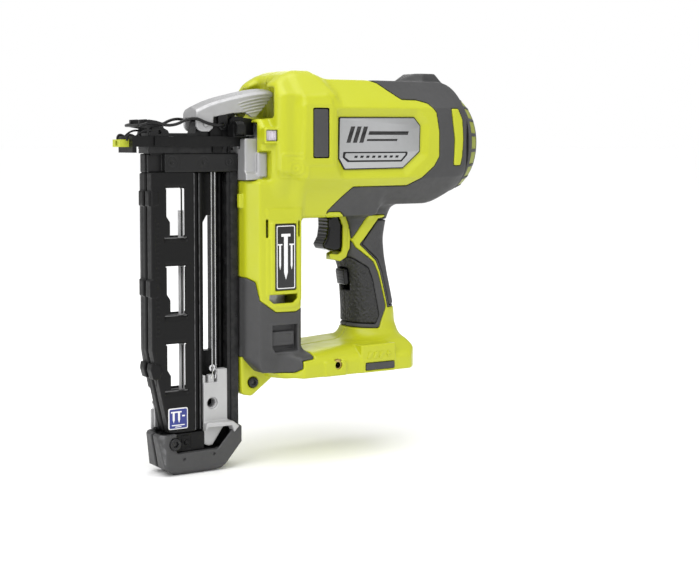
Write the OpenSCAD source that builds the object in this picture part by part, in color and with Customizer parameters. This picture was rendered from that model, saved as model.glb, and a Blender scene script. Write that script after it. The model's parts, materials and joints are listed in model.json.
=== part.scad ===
// Cordless air-spring finish nailer, 16 gauge straight strips.
// Frame: +Z up, the drive line runs along X with the nose towards -X,
// the tool's left side faces -Y. Z = 0 is the underside of the magazine foot.

/* [Drive line] */
// Height of the drive line above the foot
axis_z = 226; // [224:1:228]
// Drive cylinder bore radius
drive_r = 13; // [11:0.5:13]
// Stroke of the driver
drive_stroke = 66; // [50:1:66]
// Driver blade thickness
blade_t = 2.2; // [1.8:0.1:2.3]
// Driver blade height
blade_h = 3.2; // [2.6:0.1:3.3]

/* [Compressor] */
// Crank throw
crank_throw = 8; // [6:0.5:8]
// Height of the crank axis
crank_z = 197; // [196.5:0.5:197.5]
// Compression cylinder bore radius
comp_r = 16.2; // [16:0.1:16.4]
// Height of the motor axis
motor_z = 209; // [209:0.5:210]

/* [Housing] */
// Wall of the moulded shells
wall = 2.5; // [2:0.1:2.8]
// Half width of the barrel
barrel_hw = 37; // [36:0.5:38]
// Half width of the front post
post_hw = 26; // [25:0.5:27]
// Half width of the battery base
base_hw = 38; // [37:0.5:38.5]
// Half width of the handle
grip_hw = 17.5; // [17:0.5:18.5]

/* [Magazine] */
// Half thickness of the magazine covers
mag_hw = 9; // [8.5:0.1:9]
// Half width of the nail channel
channel = 1.2; // [1:0.1:1.4]
// Foot half width
foot_hw = 14; // [13:0.5:15]

/* [Trigger and switch] */
// Trigger half width
trig_hw = 8; // [7:0.5:8]
// Trigger pivot pin radius
trig_pin_r = 1.5; // [1.2:0.1:1.8]

/* [Belt hook hole] */
// Radius of the threaded insert's hole
hook_r = 2.1; // [1.9:0.1:2.2]

/* [Hidden] */
$fn = 48;
eps = 0.01;

lime = [0.78, 0.85, 0.16];
dgray = [0.31, 0.31, 0.32];
black = [0.12, 0.12, 0.12];
silver = [0.75, 0.75, 0.77];

// --- helpers -------------------------------------------------------------
// XZ outline, drawn from y0 to y1
module xz(pts, y0, y1) translate([0, y1, 0]) rotate([90, 0, 0]) linear_extrude(y1 - y0) polygon(pts);
// YZ outline, drawn from x0 to x1
module yz(pts, x0, x1) translate([x0, 0, 0]) rotate([90, 0, 90]) linear_extrude(x1 - x0) polygon(pts);
// box from corner a to corner b
module bx(a, b) translate(a) cube([b[0] - a[0], b[1] - a[1], b[2] - a[2]]);
// rod along X, Y, Z
module rx(x0, x1, y, z, r, n = 48) translate([x0, y, z]) rotate([0, 90, 0]) cylinder(h = x1 - x0, r = r, $fn = n);
module ry(x, y0, y1, z, r, n = 48) translate([x, y1, z]) rotate([90, 0, 0]) cylinder(h = y1 - y0, r = r, $fn = n);
module rz(x, y, z0, z1, r, n = 48) translate([x, y, z0]) cylinder(h = z1 - z0, r = r, $fn = n);
// eight-sided section: half width w, bottom b, top t, chamfers c (sideways) and d (up and down)
function oct(w, b, t, c, d) = [[-w, b + d], [-w + c, b], [w - c, b], [w, b + d], [w, t - d], [w - c, t], [-w + c, t], [-w, t - d]];
// rounded rectangle in plan with straight chamfers
function plan(x0, x1, w, cf, cr) = [[x0, -w + cf], [x0 + cf * 0.7, -w], [x1 - cr, -w], [x1, -w + cr], [x1, w - cr], [x1 - cr, w], [x0 + cf * 0.7, w], [x0, w - cf]];

// --- the moulded body, outer form when t = 0, cavity when t = wall ---------
grip = [[31, 178], [31, 150], [33, 143], [37, 134], [38.5, 120], [39.5, 104], [39.5, 84],
        [77.5, 84], [77, 100], [75, 112], [71, 128], [68.5, 142], [67.5, 156], [69, 170], [72, 178]];
function gx(p, t) = [p[0] + (p[0] < 55 ? t : -t), p[1] + (p[1] < 90 ? -2 : (p[1] > 177 ? 8 : 0))];
module body_form(t) {
 // barrel
 intersection() {
  yz(oct(barrel_hw - t, 181 + t, 271 - t, 16 - t * 0.4, 20 - t * 0.4), -37 + t, 124 - t);
  xz([[-40, 181 + t], [100, 181 + t], [124, 193 + t], [124, 267.5 - t], [110, 271 - t], [-40, 271 - t]], -60, 60);
 }
 // front bulb
 intersection() {
  yz(oct(34.5 - t, 190 + t, 277 - t, 15 - t * 0.4, 16 - t * 0.4), -37 + t, -t);
  xz([[-37 + t, 180], [-37 + t, 264], [-34 + t, 267.5], [-25 + t, 273 - t], [-15 + t, 277 - t], [-5, 277 - t], [-t, 271.5 - t], [-t, 180]], -60, 60);
 }
 // nose collar
 yz(oct(28 - t, 196 + t, 243 - t, 8 - t * 0.4, 8 - t * 0.4), -46 + t, -35 + 2 * t);
 // front post
 translate([0, 0, 66 + t]) linear_extrude(134 + (t > 0 ? 4 : 0)) polygon(plan(-54 + t, -12 - t, post_hw - t, 10 - t * 0.4, 3));
 // bridge above the fingers
 bx([-14 - t, -24 + t, 173 + t], [34, 24 - t, 190]);
 // handle
 xz([for (p = grip) gx(p, t)], -grip_hw + t, grip_hw - t);
 // battery base
 translate([0, 0, 62 + t]) linear_extrude(18 - t) polygon(plan(-34 + t, 78 - t, base_hw - t, 22 - t * 0.4, 6));
 translate([0, 0, 79]) linear_extrude(6 - t) polygon(plan(-16 + t, 76 - t, 31 - t, 12, 8));
 translate([0, 0, 84 - t]) linear_extrude(6) polygon(plan(-6 + t, 74 - t, 23 - t, 8, 8));
 // top rear hump
 xz([[66 + t, 262], [66 + t, 270], [80 + t, 277.5 - t], [104 - t, 277.5 - t], [109 - t, 269], [109 - t, 262]], -18 + t, 18 - t);
}
module body_shell() difference() {
 union() {
  body_form(0);
  // lug under the post
  xz([[-54, 80], [-52.5, 52], [-44, 51], [-28, 63], [-28, 80]], -11, 11);
 }
 difference() {
  body_form(wall);
  bx([38, -15, 55], [75, 15, 68]);
  // walls of the pocket round the latch lever
  translate([0, 0, 240.5]) linear_extrude(26.5) polygon([[-60, -45], [-37, -39], [-18.5, -13.6], [-18.5, 13.6], [-37, 39], [-60, 45]]);
  bx([-60, -15, 240.5], [-18.5, 15, 290]);
 }
 // recess for the latch lever, flared towards the front
 bx([-60, -12.5, 243.01], [-21, 12.5, 290]);
 translate([0, 0, 243.01]) linear_extrude(21.5) polygon([[-60, -40], [-39, -36], [-21.5, -12.4], [-21.5, 12.4], [-39, 36], [-60, 40]]);
 // nose opening
 bx([-47, -20, 199.9], [-42, 20, 240]);
 // trigger opening
 bx([20, -trig_hw - 0.7, 144], [41, trig_hw + 0.7, 181]);
 // mode switch opening
 bx([30, -6.8, 119], [48, 6.8, 140.5]);
 // battery opening
 bx([42.5, -14.6, 60], [73.5, 14.6, 68.6]);
 // belt hook inserts
 ry(9.5, -60, 60, 69.5, 4.05);
 // bore in the lug
 ry(-44.5, -12, 12, 58.5, 3.05);
 // trigger pin holes
 ry(31, -16.2, 16.2, 175, trig_pin_r + 0.01);
 // rear opening for the end cap
 rx(118, 126, 0, 226, 33.05, 64);
 // contact arm slots
 for (s = [-1, 1]) bx([-48, s > 0 ? 9 : -12, 222], [-40, s > 0 ? 12 : -9, 232]);
}
// where the grey panels start
rear_line = [[40, 272.5], [51.5, 269], [59, 263], [67, 257], [80, 256.8], [88.5, 254.6], [94.8, 248], [97.5, 234],
             [97.5, 216], [93, 209], [82, 200.6], [71.6, 195], [22.6, 194.8], [11.8, 186.6], [4, 177], [4, 170],
             [28, 170], [28, 104], [30, 93], [70, 93], [79, 104], [79, 160], [145, 160], [145, 300], [40, 300]];
low_line = [[-60, 133], [-53, 133], [-48.6, 130], [-46.5, 117], [-34, 108.4], [-18, 108], [-10, 113], [-10, 72],
            [-15, 66.5], [-23, 64], [-44, 66.5], [-54, 77], [-60, 77]];
module side(s) bx([-200, s < 0 ? -60 : 0, 40], [200, s < 0 ? 0 : 60, 300]);
// the grey panels are a skin over the lime shell
skin = 1.2;
module skin_zone() difference() {
 union() { xz(rear_line, -70, 70); xz(low_line, -70, 70); }
 body_form(skin);
 bx([-61, -11.01, 40], [-20, 11.01, 77]);
}
module lime_half(s) difference() {
 intersection() { body_shell(); side(s); }
 skin_zone();
 pad_cuts();
}
module grey_half(s) difference() {
 intersection() { body_shell(); side(s); xz(rear_line, -70, 70); }
 body_form(skin);
 pad_cuts();
}
module low_half(s) difference() {
 intersection() { body_shell(); side(s); xz(low_line, -70, 70); }
 body_form(skin);
 bx([-61, -11.01, 40], [-20, 11.01, 77]);
}
// shallow seats for the plates and pads on both sides
module mirrored() { children(); mirror([0, 1, 0]) children(); }
badge = [[11.5, 244], [76, 244.5], [81.5, 238.5], [81, 219.5], [66, 207.5], [16, 207], [11, 215]];
module badge_solid(g) xz(g ? [for (p = badge) [p[0], p[1]]] : badge, -barrel_hw - 0.6, -barrel_hw + 1);
module nameplate_solid() bx([-35.5, -post_hw - 0.8, 123.5], [-18.5, -post_hw + 1, 170]);
module front_pad_solid() bx([-11, -barrel_hw - 0.6, 215.5], [1.5, -barrel_hw + 1, 250]);
module rear_pad_solid() bx([109.5, -barrel_hw - 0.6, 209], [117, -barrel_hw + 1, 250.9]);
module base_pad_solid() bx([33, -base_hw - 0.5, 67], [55, -base_hw + 1.2, 74]);
module pad_cuts() mirrored() { badge_solid(0); nameplate_solid(); front_pad_solid(); rear_pad_solid(); base_pad_solid(); }

module left_housing() color(lime) lime_half(-1);
module right_housing() color(lime) lime_half(1);
module left_overmould() color(dgray) grey_half(-1);
module right_overmould() color(dgray) grey_half(1);
module left_lower_cover() color(dgray) low_half(-1);
module right_lower_cover() color(dgray) low_half(1);
module badge_plates() color(silver) mirrored() badge_solid(0);
module name_plates() color(black) mirrored() nameplate_solid();
module front_bumper_pads() color(dgray) mirrored() front_pad_solid();
module rear_bumper_pads() color(lime) mirrored() rear_pad_solid();
module base_bumper_pads() color(dgray) mirrored() base_pad_solid();
module grip_sleeve() color([0.2, 0.2, 0.2]) mirrored()
 xz([[41, 143], [46, 143], [53, 134], [58, 124], [61, 108], [62, 100], [60, 96], [42, 96], [41, 120]], grip_hw, grip_hw + 0.8);
module rear_grip_insert() color([0.25, 0.25, 0.25]) mirrored()
 xz([[66, 164], [66.5, 152], [63, 142], [69, 130], [73.5, 112], [74.5, 106], [72, 106], [66, 128], [58, 144], [64, 160]], grip_hw, grip_hw + 0.8);
module trigger_surround() color(lime) mirrored() difference() {
 xz([[23, 175], [30, 174], [33, 165], [33, 155], [30, 146], [25, 143], [21, 144], [23, 147], [27, 149], [29, 156], [29, 165], [27, 171], [23, 172]], grip_hw - 7, grip_hw);
 bx([31, 0, 140], [40, grip_hw + 1, 181]);
 bx([20, 0, 172.99], [40, grip_hw + 1, 181]);
}
module led_lenses() color([0.85, 0.85, 0.9]) mirrored() bx([-44.5, -30.2, 229], [-37.01, -28, 235.5]);

// --- rear end -------------------------------------------------------------
module rear_end_cap() color(dgray) difference() {
 union() {
  rx(119, 124.2, 0, 226, 33, 64);
  translate([124, 0, 226]) rotate([0, 90, 0]) rotate_extrude($fn = 64)
   polygon([[0, 0], [38, 0], [37.5, 4], [35, 9], [29, 13.5], [20, 16], [8, 17], [0, 17]]);
 }
 translate([118, 0, 226]) rotate([0, 90, 0]) rotate_extrude($fn = 64)
  polygon([[0, 0], [30.5, 0], [30.5, 13], [27, 17], [19, 20], [0, 21]]);
 translate([124, 0, 226]) rotate([0, 90, 0]) rotate_extrude($fn = 64)
  polygon([[36.2, 2.4], [40, 2.4], [40, 6.6], [36.2, 6.6]]);
}
module vent_ring() color(lime) translate([124, 0, 226]) rotate([0, 90, 0]) rotate_extrude($fn = 64)
  polygon([[36.2, 2.4], [37.6, 2.4], [37.4, 4.2], [36.3, 6.6], [36.2, 6.6]]);
module housing_screws() color([0.3, 0.3, 0.3]) for (p = [[-42.5, 184, 26], [-20, 93, 26], [-20, 118, 26], [-22, 205, 37], [-22, 246, 37], [70, 71, 38], [52, 165, 17.5]])
 ry(p[0], p[2], p[2] + 0.5, p[1], 3.2, 32);

// --- electrics ------------------------------------------------------------
module battery_socket() color([0.15, 0.15, 0.15]) difference() {
 xz([[42.6, 62.2], [73.4, 62.2], [73.4, 103], [70.2, 106.2], [70.2, 118], [42.6, 118]], -14.5, 14.5);
 xz([[44.6, 60], [71.4, 60], [71.4, 102], [68.2, 105.2], [68.2, 112], [44.6, 112]], -12.5, 12.5);
}
module battery_terminals() color([0.8, 0.65, 0.3]) for (y = [-7, 0, 7]) bx([52, y - 0.5, 103], [64, y + 0.5, 112]);
module hook_inserts() color([0.7, 0.6, 0.35]) for (s = [-1, 1]) difference() {
 ry(9.5, s > 0 ? 29.5 : -base_hw - 0.4, s > 0 ? base_hw + 0.4 : -29.5, 69.5, 4);
 ry(9.5, s > 0 ? 29 : -base_hw - 1, s > 0 ? base_hw + 1 : -29, 69.5, hook_r);
}
module control_board() color([0.1, 0.35, 0.2]) bx([-46, -17, 84], [-20, 17, 86]);
module trigger_switch() color([0.15, 0.15, 0.15]) { bx([45, -9, 150], [64, 9, 172]); bx([38, -3, 155], [45.01, 3, 161]); }

// --- trigger ----------------------------------------------------------------
module trigger() color(black) difference() {
 union() {
  xz([[17.5, 171], [17.8, 165], [16.5, 158], [13.5, 152.5], [15, 149.6], [24, 147], [33, 148], [34, 172], [33, 174], [28, 176], [22, 172]], -trig_hw, trig_hw);
  ry(31, -trig_hw, trig_hw, 175, 3.4);
 }
 ry(31, -trig_hw - 1, trig_hw + 1, 175, trig_pin_r + 0.05);
}
module trigger_pin() color(silver) ry(31, -14, 14, 175, trig_pin_r);
module mode_switch() color(black) { bx([35.5, -6, 123.5], [38.9, 6, 137]); bx([38.9, -4, 127], [43, 4, 133]); }

// --- nose ---------------------------------------------------------------
module nose_casting() color(silver) difference() {
 union() {
  bx([-59, -19.5, 200.4], [-42, 19.5, 229]);
  bx([-48, -22, 206], [-46.2, 22, 224]);
  rx(-42.05, -39, 0, axis_z, drive_r + 1.4);
 }
 bx([-60, -mag_hw - 0.35, 200], [-55.1, mag_hw + 0.35, 218.8]);
 bx([-60, -blade_t / 2 - 0.4, axis_z - blade_h / 2 - 0.4], [-38, blade_t / 2 + 0.4, axis_z + blade_h / 2 + 0.4]);
 for (s = [-1, 1]) bx([-60, s > 0 ? 9 : -12, 222], [-38, s > 0 ? 12 : -9, 232]);
}
module nose_guide() color([0.16, 0.16, 0.17]) {
 difference() {
  bx([-121.5, -7.8, 219], [-59.2, 7.8, 229.4]);
  bx([-125, -blade_t / 2 - 0.15, axis_z - blade_h / 2 - 0.15], [-55, blade_t / 2 + 0.15, 235]);
 }
 for (s = [-1, 1]) {
  xz([[-121.5, 222], [-121.5, 235.5], [-128, 236.5], [-128, 241.5], [-123, 241.8], [-110.5, 237], [-110.5, 222]], s > 0 ? 6.4 : -8.4, s > 0 ? 8.4 : -6.4);
  difference() {
   xz([[-66, 222], [-66, 236], [-62, 240.4], [-54, 240.4], [-52.5, 236], [-52.5, 229.2], [-59.2, 229.2], [-59.2, 222]], s > 0 ? 6.4 : -8.4, s > 0 ? 8.4 : -6.4);
   ry(-58, -9, 9, 235.6, 1.5);
  }
 }
}
module nose_door() color([0.18, 0.18, 0.19]) difference() {
 union() {
  bx([-120.8, -5.9, 229.7], [-60, 5.9, 232.6]);
  xz([[-66, 230], [-66, 235], [-60, 239.4], [-56, 239.4], [-54.3, 235], [-55, 231.4], [-60, 230]], -5.9, 5.9);
  xz([[-86, 232.5], [-84, 240.5], [-82, 242.2], [-78, 242.2], [-76, 240.5], [-74, 232.5]], -5.9, 5.9);
 }
 ry(-58, -9, 9, 235.6, 1.55);
 ry(-80, -9, 9, 238.5, 1.5);
}
module door_pin() color(silver) ry(-58, -9.4, 9.4, 235.6, 1.5);
lever_top = [[-93, 248.2], [-77, 255], [-65, 258.6], [-50, 261.6], [-41, 263], [-30.5, 262.6], [-25.5, 260]];
lever_low = [[-25.5, 257], [-39, 244.6], [-43.5, 244.6], [-48.5, 247.2], [-59, 246.4], [-73.5, 243.8]];
module latch_lever() color(silver) difference() {
 union() {
  difference() {
   xz(concat(lever_top, lever_low, [[-86, 242.3], [-88, 243.2]]), -10.5, 10.5);
   xz([[-95, 236], [-95, 244.5], [-76, 252], [-64, 255.6], [-50, 258.4], [-40, 259.4], [-34, 256.5], [-45, 236]], -8, 8);
  }
  for (s = [-1, 1]) xz([[-86.5, 246], [-86, 236], [-83, 233.4], [-77, 233.4], [-74.3, 236], [-73.5, 246]], s > 0 ? 8 : -10.5, s > 0 ? 10.5 : -8);
  for (s = [-1, 1]) xz([[-70.5, 247], [-70, 237], [-68, 234.6], [-65, 234.6], [-63, 237], [-62.4, 247]], s > 0 ? 9 : -10.5, s > 0 ? 10.5 : -9);
 }
 ry(-80, -11, 11, 238.5, 1.55);
 ry(-66.6, -11, 11, 238, 1.25);
}
module latch_pin() color(silver) ry(-80, -10.7, 10.7, 238.5, 1.5);
module wire_bail() color([0.3, 0.3, 0.32]) {
 ry(-129.6, -13.3, 13.3, 238, 1.2);
 for (s = [-1, 1]) {
  rx(-129.6, -66.6, s * 12.1, 238, 1.2);
  ry(-66.6, s > 0 ? 9.1 : -13.3, s > 0 ? 13.3 : -9.1, 238, 1.2);
 }
}
module contact_arm() color([0.14, 0.14, 0.14]) difference() {
 union() {
  for (s = [-1, 1]) {
   bx([-134.5, s > 0 ? 9.4 : -11.6, 223.5], [-47.5, s > 0 ? 11.6 : -9.4, 230.5]);
   bx([-139, s > 0 ? 3 : -5, 224.4], [-134, s > 0 ? 5 : -3, 227.2]);
  }
  bx([-134.5, -11.6, 219.5], [-131.6, 11.6, 231]);
  for (x = [-63.5, -55]) bx([x, -19, 230], [x + 1.5, -11, 238.5]);
  bx([-63.5, -19, 230], [-53.5, -10.2, 230.5]);
  rx(-63, -54, -17, 235.8, 1.5, 32);
 }
 bx([-136, -2.6, 223.4], [-131, 2.6, 228.6]);
}
module no_mar_pad() color(lime) difference() {
 bx([-141, -6.2, 223.3], [-134.6, 6.2, 228.3]);
 bx([-142, -1.8, 224.2], [-134, 1.8, 227.4]);
 for (s = [-1, 1]) bx([-139.05, s > 0 ? 2.95 : -5.05, 224.35], [-134, s > 0 ? 5.05 : -2.95, 227.25]);
}
module depth_wheel() color(black) difference() {
 rx(-61.8, -55.9, -17, 235.8, 5, 48);
 rx(-63, -54, -17, 235.8, 1.55, 32);
}

// --- magazine -------------------------------------------------------------
windows = [[162.5, 195.3], [109.7, 142.4], [58.1, 89.4]];
module window_cuts() for (w = windows) {
 xz([[-108.9, w[0] + 14], [-106.3, w[0] + 10], [-106.3, w[0]], [-98, w[0]], [-98, w[1]], [-108.9, w[1]]], -20, 20);
 bx([-97, -20, w[0]], [-95.6, 20, w[1]]);
 bx([-106.3, 0, w[0]], [-86.5, 20, w[1]]);
}
mag_out = [[-120, 206], [-120, 86], [-118, 76], [-108, 28.2], [-82, 28.2], [-82, 206]];
module left_magazine_cover() color(black) difference() {
 xz(mag_out, -mag_hw, -channel);
 window_cuts();
}
module right_magazine_cover() color(black) difference() {
 union() {
  xz([[-120, 206], [-120, 86], [-118, 76], [-108, 28.2], [-55.2, 28.2], [-55.2, 206]], channel, mag_hw);
  // ears for the pin of the strip latch
  for (z = [28.4, 46.4]) bx([-111.3, mag_hw - 0.5, z], [-106, mag_hw + 3, z + 2.2]);
 }
 window_cuts();
 bx([-75.4, 0, 88], [-67.5, 12, 176]);
 rz(-110, mag_hw + 1.7, 28, 50, 0.81, 32);
}
module magazine_rail() color([0.16, 0.16, 0.17]) difference() {
 bx([-63, -mag_hw, 28.2], [-55.2, -channel, 206]);
 bx([-63.5, -mag_hw - 1, 28], [-61, -mag_hw + 1, 207]);
}
module magazine_top_bar() color([0.2, 0.2, 0.2]) difference() {
 bx([-120, -mag_hw - 0.3, 206.1], [-55.2, mag_hw + 0.3, 218.7]);
 bx([-121, -channel, 206], [-54, channel, 219]);
 bx([-121, -mag_hw - 1, 206], [-110, -4, 219]);
}
module pusher() color(silver) {
 difference() {
  bx([-81.7, -8.6, 35.5], [-63.3, -2.2, 66]);
  ry(-75.3, -9, 0, 48, 4);
 }
 bx([-81.7, -4.6, 66], [-79, -2.2, 70]);
 bx([-69, -8.6, 66], [-63.3, -2.2, 70]);
 bx([-80, -2.2, 40], [-66, 0.6, 62]);
 xz([[-81.7, 35.6], [-81.7, 20], [-75.5, 20], [-66, 31.5], [-63.3, 31.5], [-63.3, 35.6]], -8.6, -2.2);
 xz([[-81.7, 35.6], [-79, 33], [-63.3, 31.4], [-63.3, 35.6]], -15.5, -8.6);
}
module spring_coil() color(silver) difference() { ry(-74, -6.2, -5, 72, 2.4, 32); ry(-74, -7, -4, 72, 1, 24); }
module spring_tape() color(silver) bx([-74.2, -6.2, 74.5], [-71, -6, 206]);
foot_out = [[-117, 27], [-110.5, 28], [-108, 16.5], [-103, 15.5], [-74, 15.5], [-60, 30.5], [-55.2, 30], [-55.2, 18], [-70, 1], [-84, 0], [-105, 0], [-113, 5]];
module foot_half() {
 xz(foot_out, -foot_hw, -mag_hw - 0.3);
 xz([[-117, 27], [-108.6, 28], [-55.2, 28], [-55.2, 18], [-70, 1], [-84, 0], [-105, 0], [-113, 5]], -mag_hw - 0.3, -channel - 0.4);
}
module left_foot() color(dgray) difference() {
 foot_half();
 bx([-82, -12, 16], [-63, -2, 29]);
 ry(-104, -20, -10, 22, 4.03);
}
module right_foot() color(dgray) difference() {
 mirror([0, 1, 0]) foot_half();
 ry(-104, 10, 20, 22, 4.03);
}
module magazine_screws() color([0.5, 0.5, 0.5]) {
 for (s = [-1, 1]) difference() { ry(-104, s > 0 ? 10 : -15, s > 0 ? 15 : -10, 22, 4); ry(-104, s > 0 ? 13 : -16, s > 0 ? 16 : -13, 22, 2, 6); }
 ry(-44.5, -11.8, 11.8, 58.5, 3);
 rz(-110, mag_hw + 1.7, 28.5, 48.5, 0.8, 32);
}
module strip_latch() color(silver) difference() {
 union() { bx([-117.5, mag_hw + 0.7, 31], [-110, mag_hw + 2.7, 46]); rz(-110, mag_hw + 1.7, 31, 46, 1.3, 32); }
 rz(-110, mag_hw + 1.7, 30, 47, 0.85, 32);
}
module gauge_label() color([0.16, 0.2, 0.5]) bx([-104, -mag_hw - 0.3, 33.5], [-92.5, -mag_hw, 48]);

// --- air spring -------------------------------------------------------------
module compression_cylinder() color([0.7, 0.7, 0.72]) difference() {
 rz(-33, 0, 112, 168, comp_r + 1.8, 64);
 rz(-33, 0, 118, 170, comp_r, 64);
}
module compression_piston() color([0.6, 0.6, 0.62]) difference() {
 rz(-33, 0, 138.5, 162, comp_r - 0.05, 64);
 rz(-33, 0, 144.5, 163, 14.2, 64);
}
module connecting_rod() color([0.55, 0.55, 0.57]) difference() {
 union() {
  rx(-36.5, -29.5, 0, crank_z + crank_throw, 5);
  bx([-35.5, -3.5, 152.5], [-30.5, 3.5, crank_z + crank_throw - 4]);
  rx(-36.5, -29.5, 0, 152.5, 4.6);
 }
 rx(-40, -26, 0, crank_z + crank_throw, 3.05);
}
module crankshaft() color([0.5, 0.5, 0.52]) {
 rx(-38, -24, 0, crank_z + crank_throw, 3);
 rx(-24.01, -18, 0, crank_z, 12);
 rx(-18.01, 56.99, 0, crank_z, 4);
 rx(56.98, 60.2, 0, crank_z, 3);
 rx(60.19, 66, 0, crank_z, 8.8);
}
module crank_bearings() color([0.7, 0.7, 0.72]) for (x = [-14, 38]) difference() {
 rx(x, x + 6, 0, crank_z, 9);
 rx(x - 1, x + 7, 0, crank_z, 4.05);
}
module gearbox_housing() color([0.35, 0.35, 0.37]) difference() {
 bx([57.2, -15, 185.5], [71, 15, 222]);
 bx([60, -12.5, 187.5], [67, 12.5, 219.5]);
 rx(56, 61, 0, crank_z, 3.05);
 rx(66, 72, 0, motor_z, 2.55);
}
module motor_can() color([0.45, 0.45, 0.47]) difference() {
 rx(71.2, 110, 0, motor_z, 19, 64);
 rx(73.5, 111, 0, motor_z, 17, 64);
 rx(70, 74, 0, motor_z, 2.55);
}
module motor_rotor() color([0.7, 0.45, 0.25]) {
 rx(60.3, 118, 0, motor_z, 2.5);
 rx(61, 65.5, 0, motor_z, 2.9);
 rx(77, 107, 0, motor_z, 14.5);
 rx(112, 116, 0, motor_z, 16.5);
}
module drive_cylinder() color([0.75, 0.75, 0.77]) difference() {
 rx(-38.9, 54, 0, axis_z, drive_r + 1.4, 64);
 rx(-36, 51, 0, axis_z, drive_r, 64);
 bx([-42, -2.2, axis_z - 2.8], [-30, 2.2, axis_z + 2.8]);
}
module drive_bumper() color([0.15, 0.15, 0.15]) difference() {
 rx(-36, -29.4, 0, axis_z, drive_r, 64);
 rx(-37, -29, 0, axis_z, 4.5, 48);
}
module drive_piston() color([0.3, 0.3, 0.32]) {
 rx(37, 49, 0, axis_z, drive_r - 0.05, 64);
 bx([-55.8, -blade_t / 2, axis_z - blade_h / 2], [37.05, blade_t / 2, axis_z + blade_h / 2]);
}
module air_unit() color([0.25, 0.25, 0.27]) bx([-18, -16, 244], [52, 16, 262]);

left_housing();
right_housing();
left_overmould();
right_overmould();
left_lower_cover();
right_lower_cover();
rear_end_cap();
vent_ring();
badge_plates();
name_plates();
grip_sleeve();
rear_grip_insert();
trigger_surround();
led_lenses();
front_bumper_pads();
rear_bumper_pads();
base_bumper_pads();
housing_screws();
battery_socket();
battery_terminals();
hook_inserts();
control_board();
trigger_switch();
trigger();
trigger_pin();
mode_switch();
nose_casting();
nose_guide();
nose_door();
door_pin();
latch_lever();
latch_pin();
wire_bail();
contact_arm();
no_mar_pad();
depth_wheel();
left_magazine_cover();
right_magazine_cover();
magazine_rail();
magazine_top_bar();
pusher();
spring_coil();
spring_tape();
left_foot();
right_foot();
magazine_screws();
strip_latch();
gauge_label();
compression_cylinder();
compression_piston();
connecting_rod();
crankshaft();
crank_bearings();
gearbox_housing();
motor_can();
motor_rotor();
drive_cylinder();
drive_bumper();
drive_piston();
air_unit();
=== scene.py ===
import bpy, bmesh, math, json
import numpy as np
import openvdb as vdb
from mathutils import Vector, Matrix

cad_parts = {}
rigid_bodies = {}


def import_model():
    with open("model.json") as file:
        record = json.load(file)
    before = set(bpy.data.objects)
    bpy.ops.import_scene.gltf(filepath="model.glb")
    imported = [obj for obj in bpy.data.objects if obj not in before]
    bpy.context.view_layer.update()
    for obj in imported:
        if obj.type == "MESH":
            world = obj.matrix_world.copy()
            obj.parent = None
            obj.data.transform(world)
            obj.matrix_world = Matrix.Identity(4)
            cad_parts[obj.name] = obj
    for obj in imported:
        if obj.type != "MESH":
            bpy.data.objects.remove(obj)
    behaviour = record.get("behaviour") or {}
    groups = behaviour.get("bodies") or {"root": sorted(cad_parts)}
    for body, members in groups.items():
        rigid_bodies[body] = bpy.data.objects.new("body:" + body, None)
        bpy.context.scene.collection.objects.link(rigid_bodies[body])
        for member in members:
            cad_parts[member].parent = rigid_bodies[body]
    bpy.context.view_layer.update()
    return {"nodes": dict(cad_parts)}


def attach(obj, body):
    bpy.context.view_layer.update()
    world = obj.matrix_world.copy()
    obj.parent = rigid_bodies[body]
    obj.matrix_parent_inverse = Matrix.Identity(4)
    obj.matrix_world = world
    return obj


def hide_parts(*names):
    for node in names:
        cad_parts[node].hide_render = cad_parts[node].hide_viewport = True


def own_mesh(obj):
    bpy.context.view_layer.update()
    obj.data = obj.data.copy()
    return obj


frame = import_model()
F32 = np.float32
SC = bpy.context.scene
COL = SC.collection

# ---------------------------------------------------------------- camera
D2R = math.pi / 180
AZ, FPX, DIST = 32.5 * D2R, 1430.0, 1.050
cam = bpy.data.cameras.new("cam")
cam.lens, cam.sensor_width = 36.0 * FPX / 699.0, 36.0
cam.shift_y = -0.0996
cam.clip_start, cam.clip_end = 0.05, 40
co = bpy.data.objects.new("cam", cam)
COL.objects.link(co)
co.location = (0.043 - DIST * math.sin(AZ), -DIST * math.cos(AZ), 0.228)
co.rotation_euler = ((90 - 3.2) * D2R, 0, -AZ)
SC.camera = co
cam.shift_x = -0.0007

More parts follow.
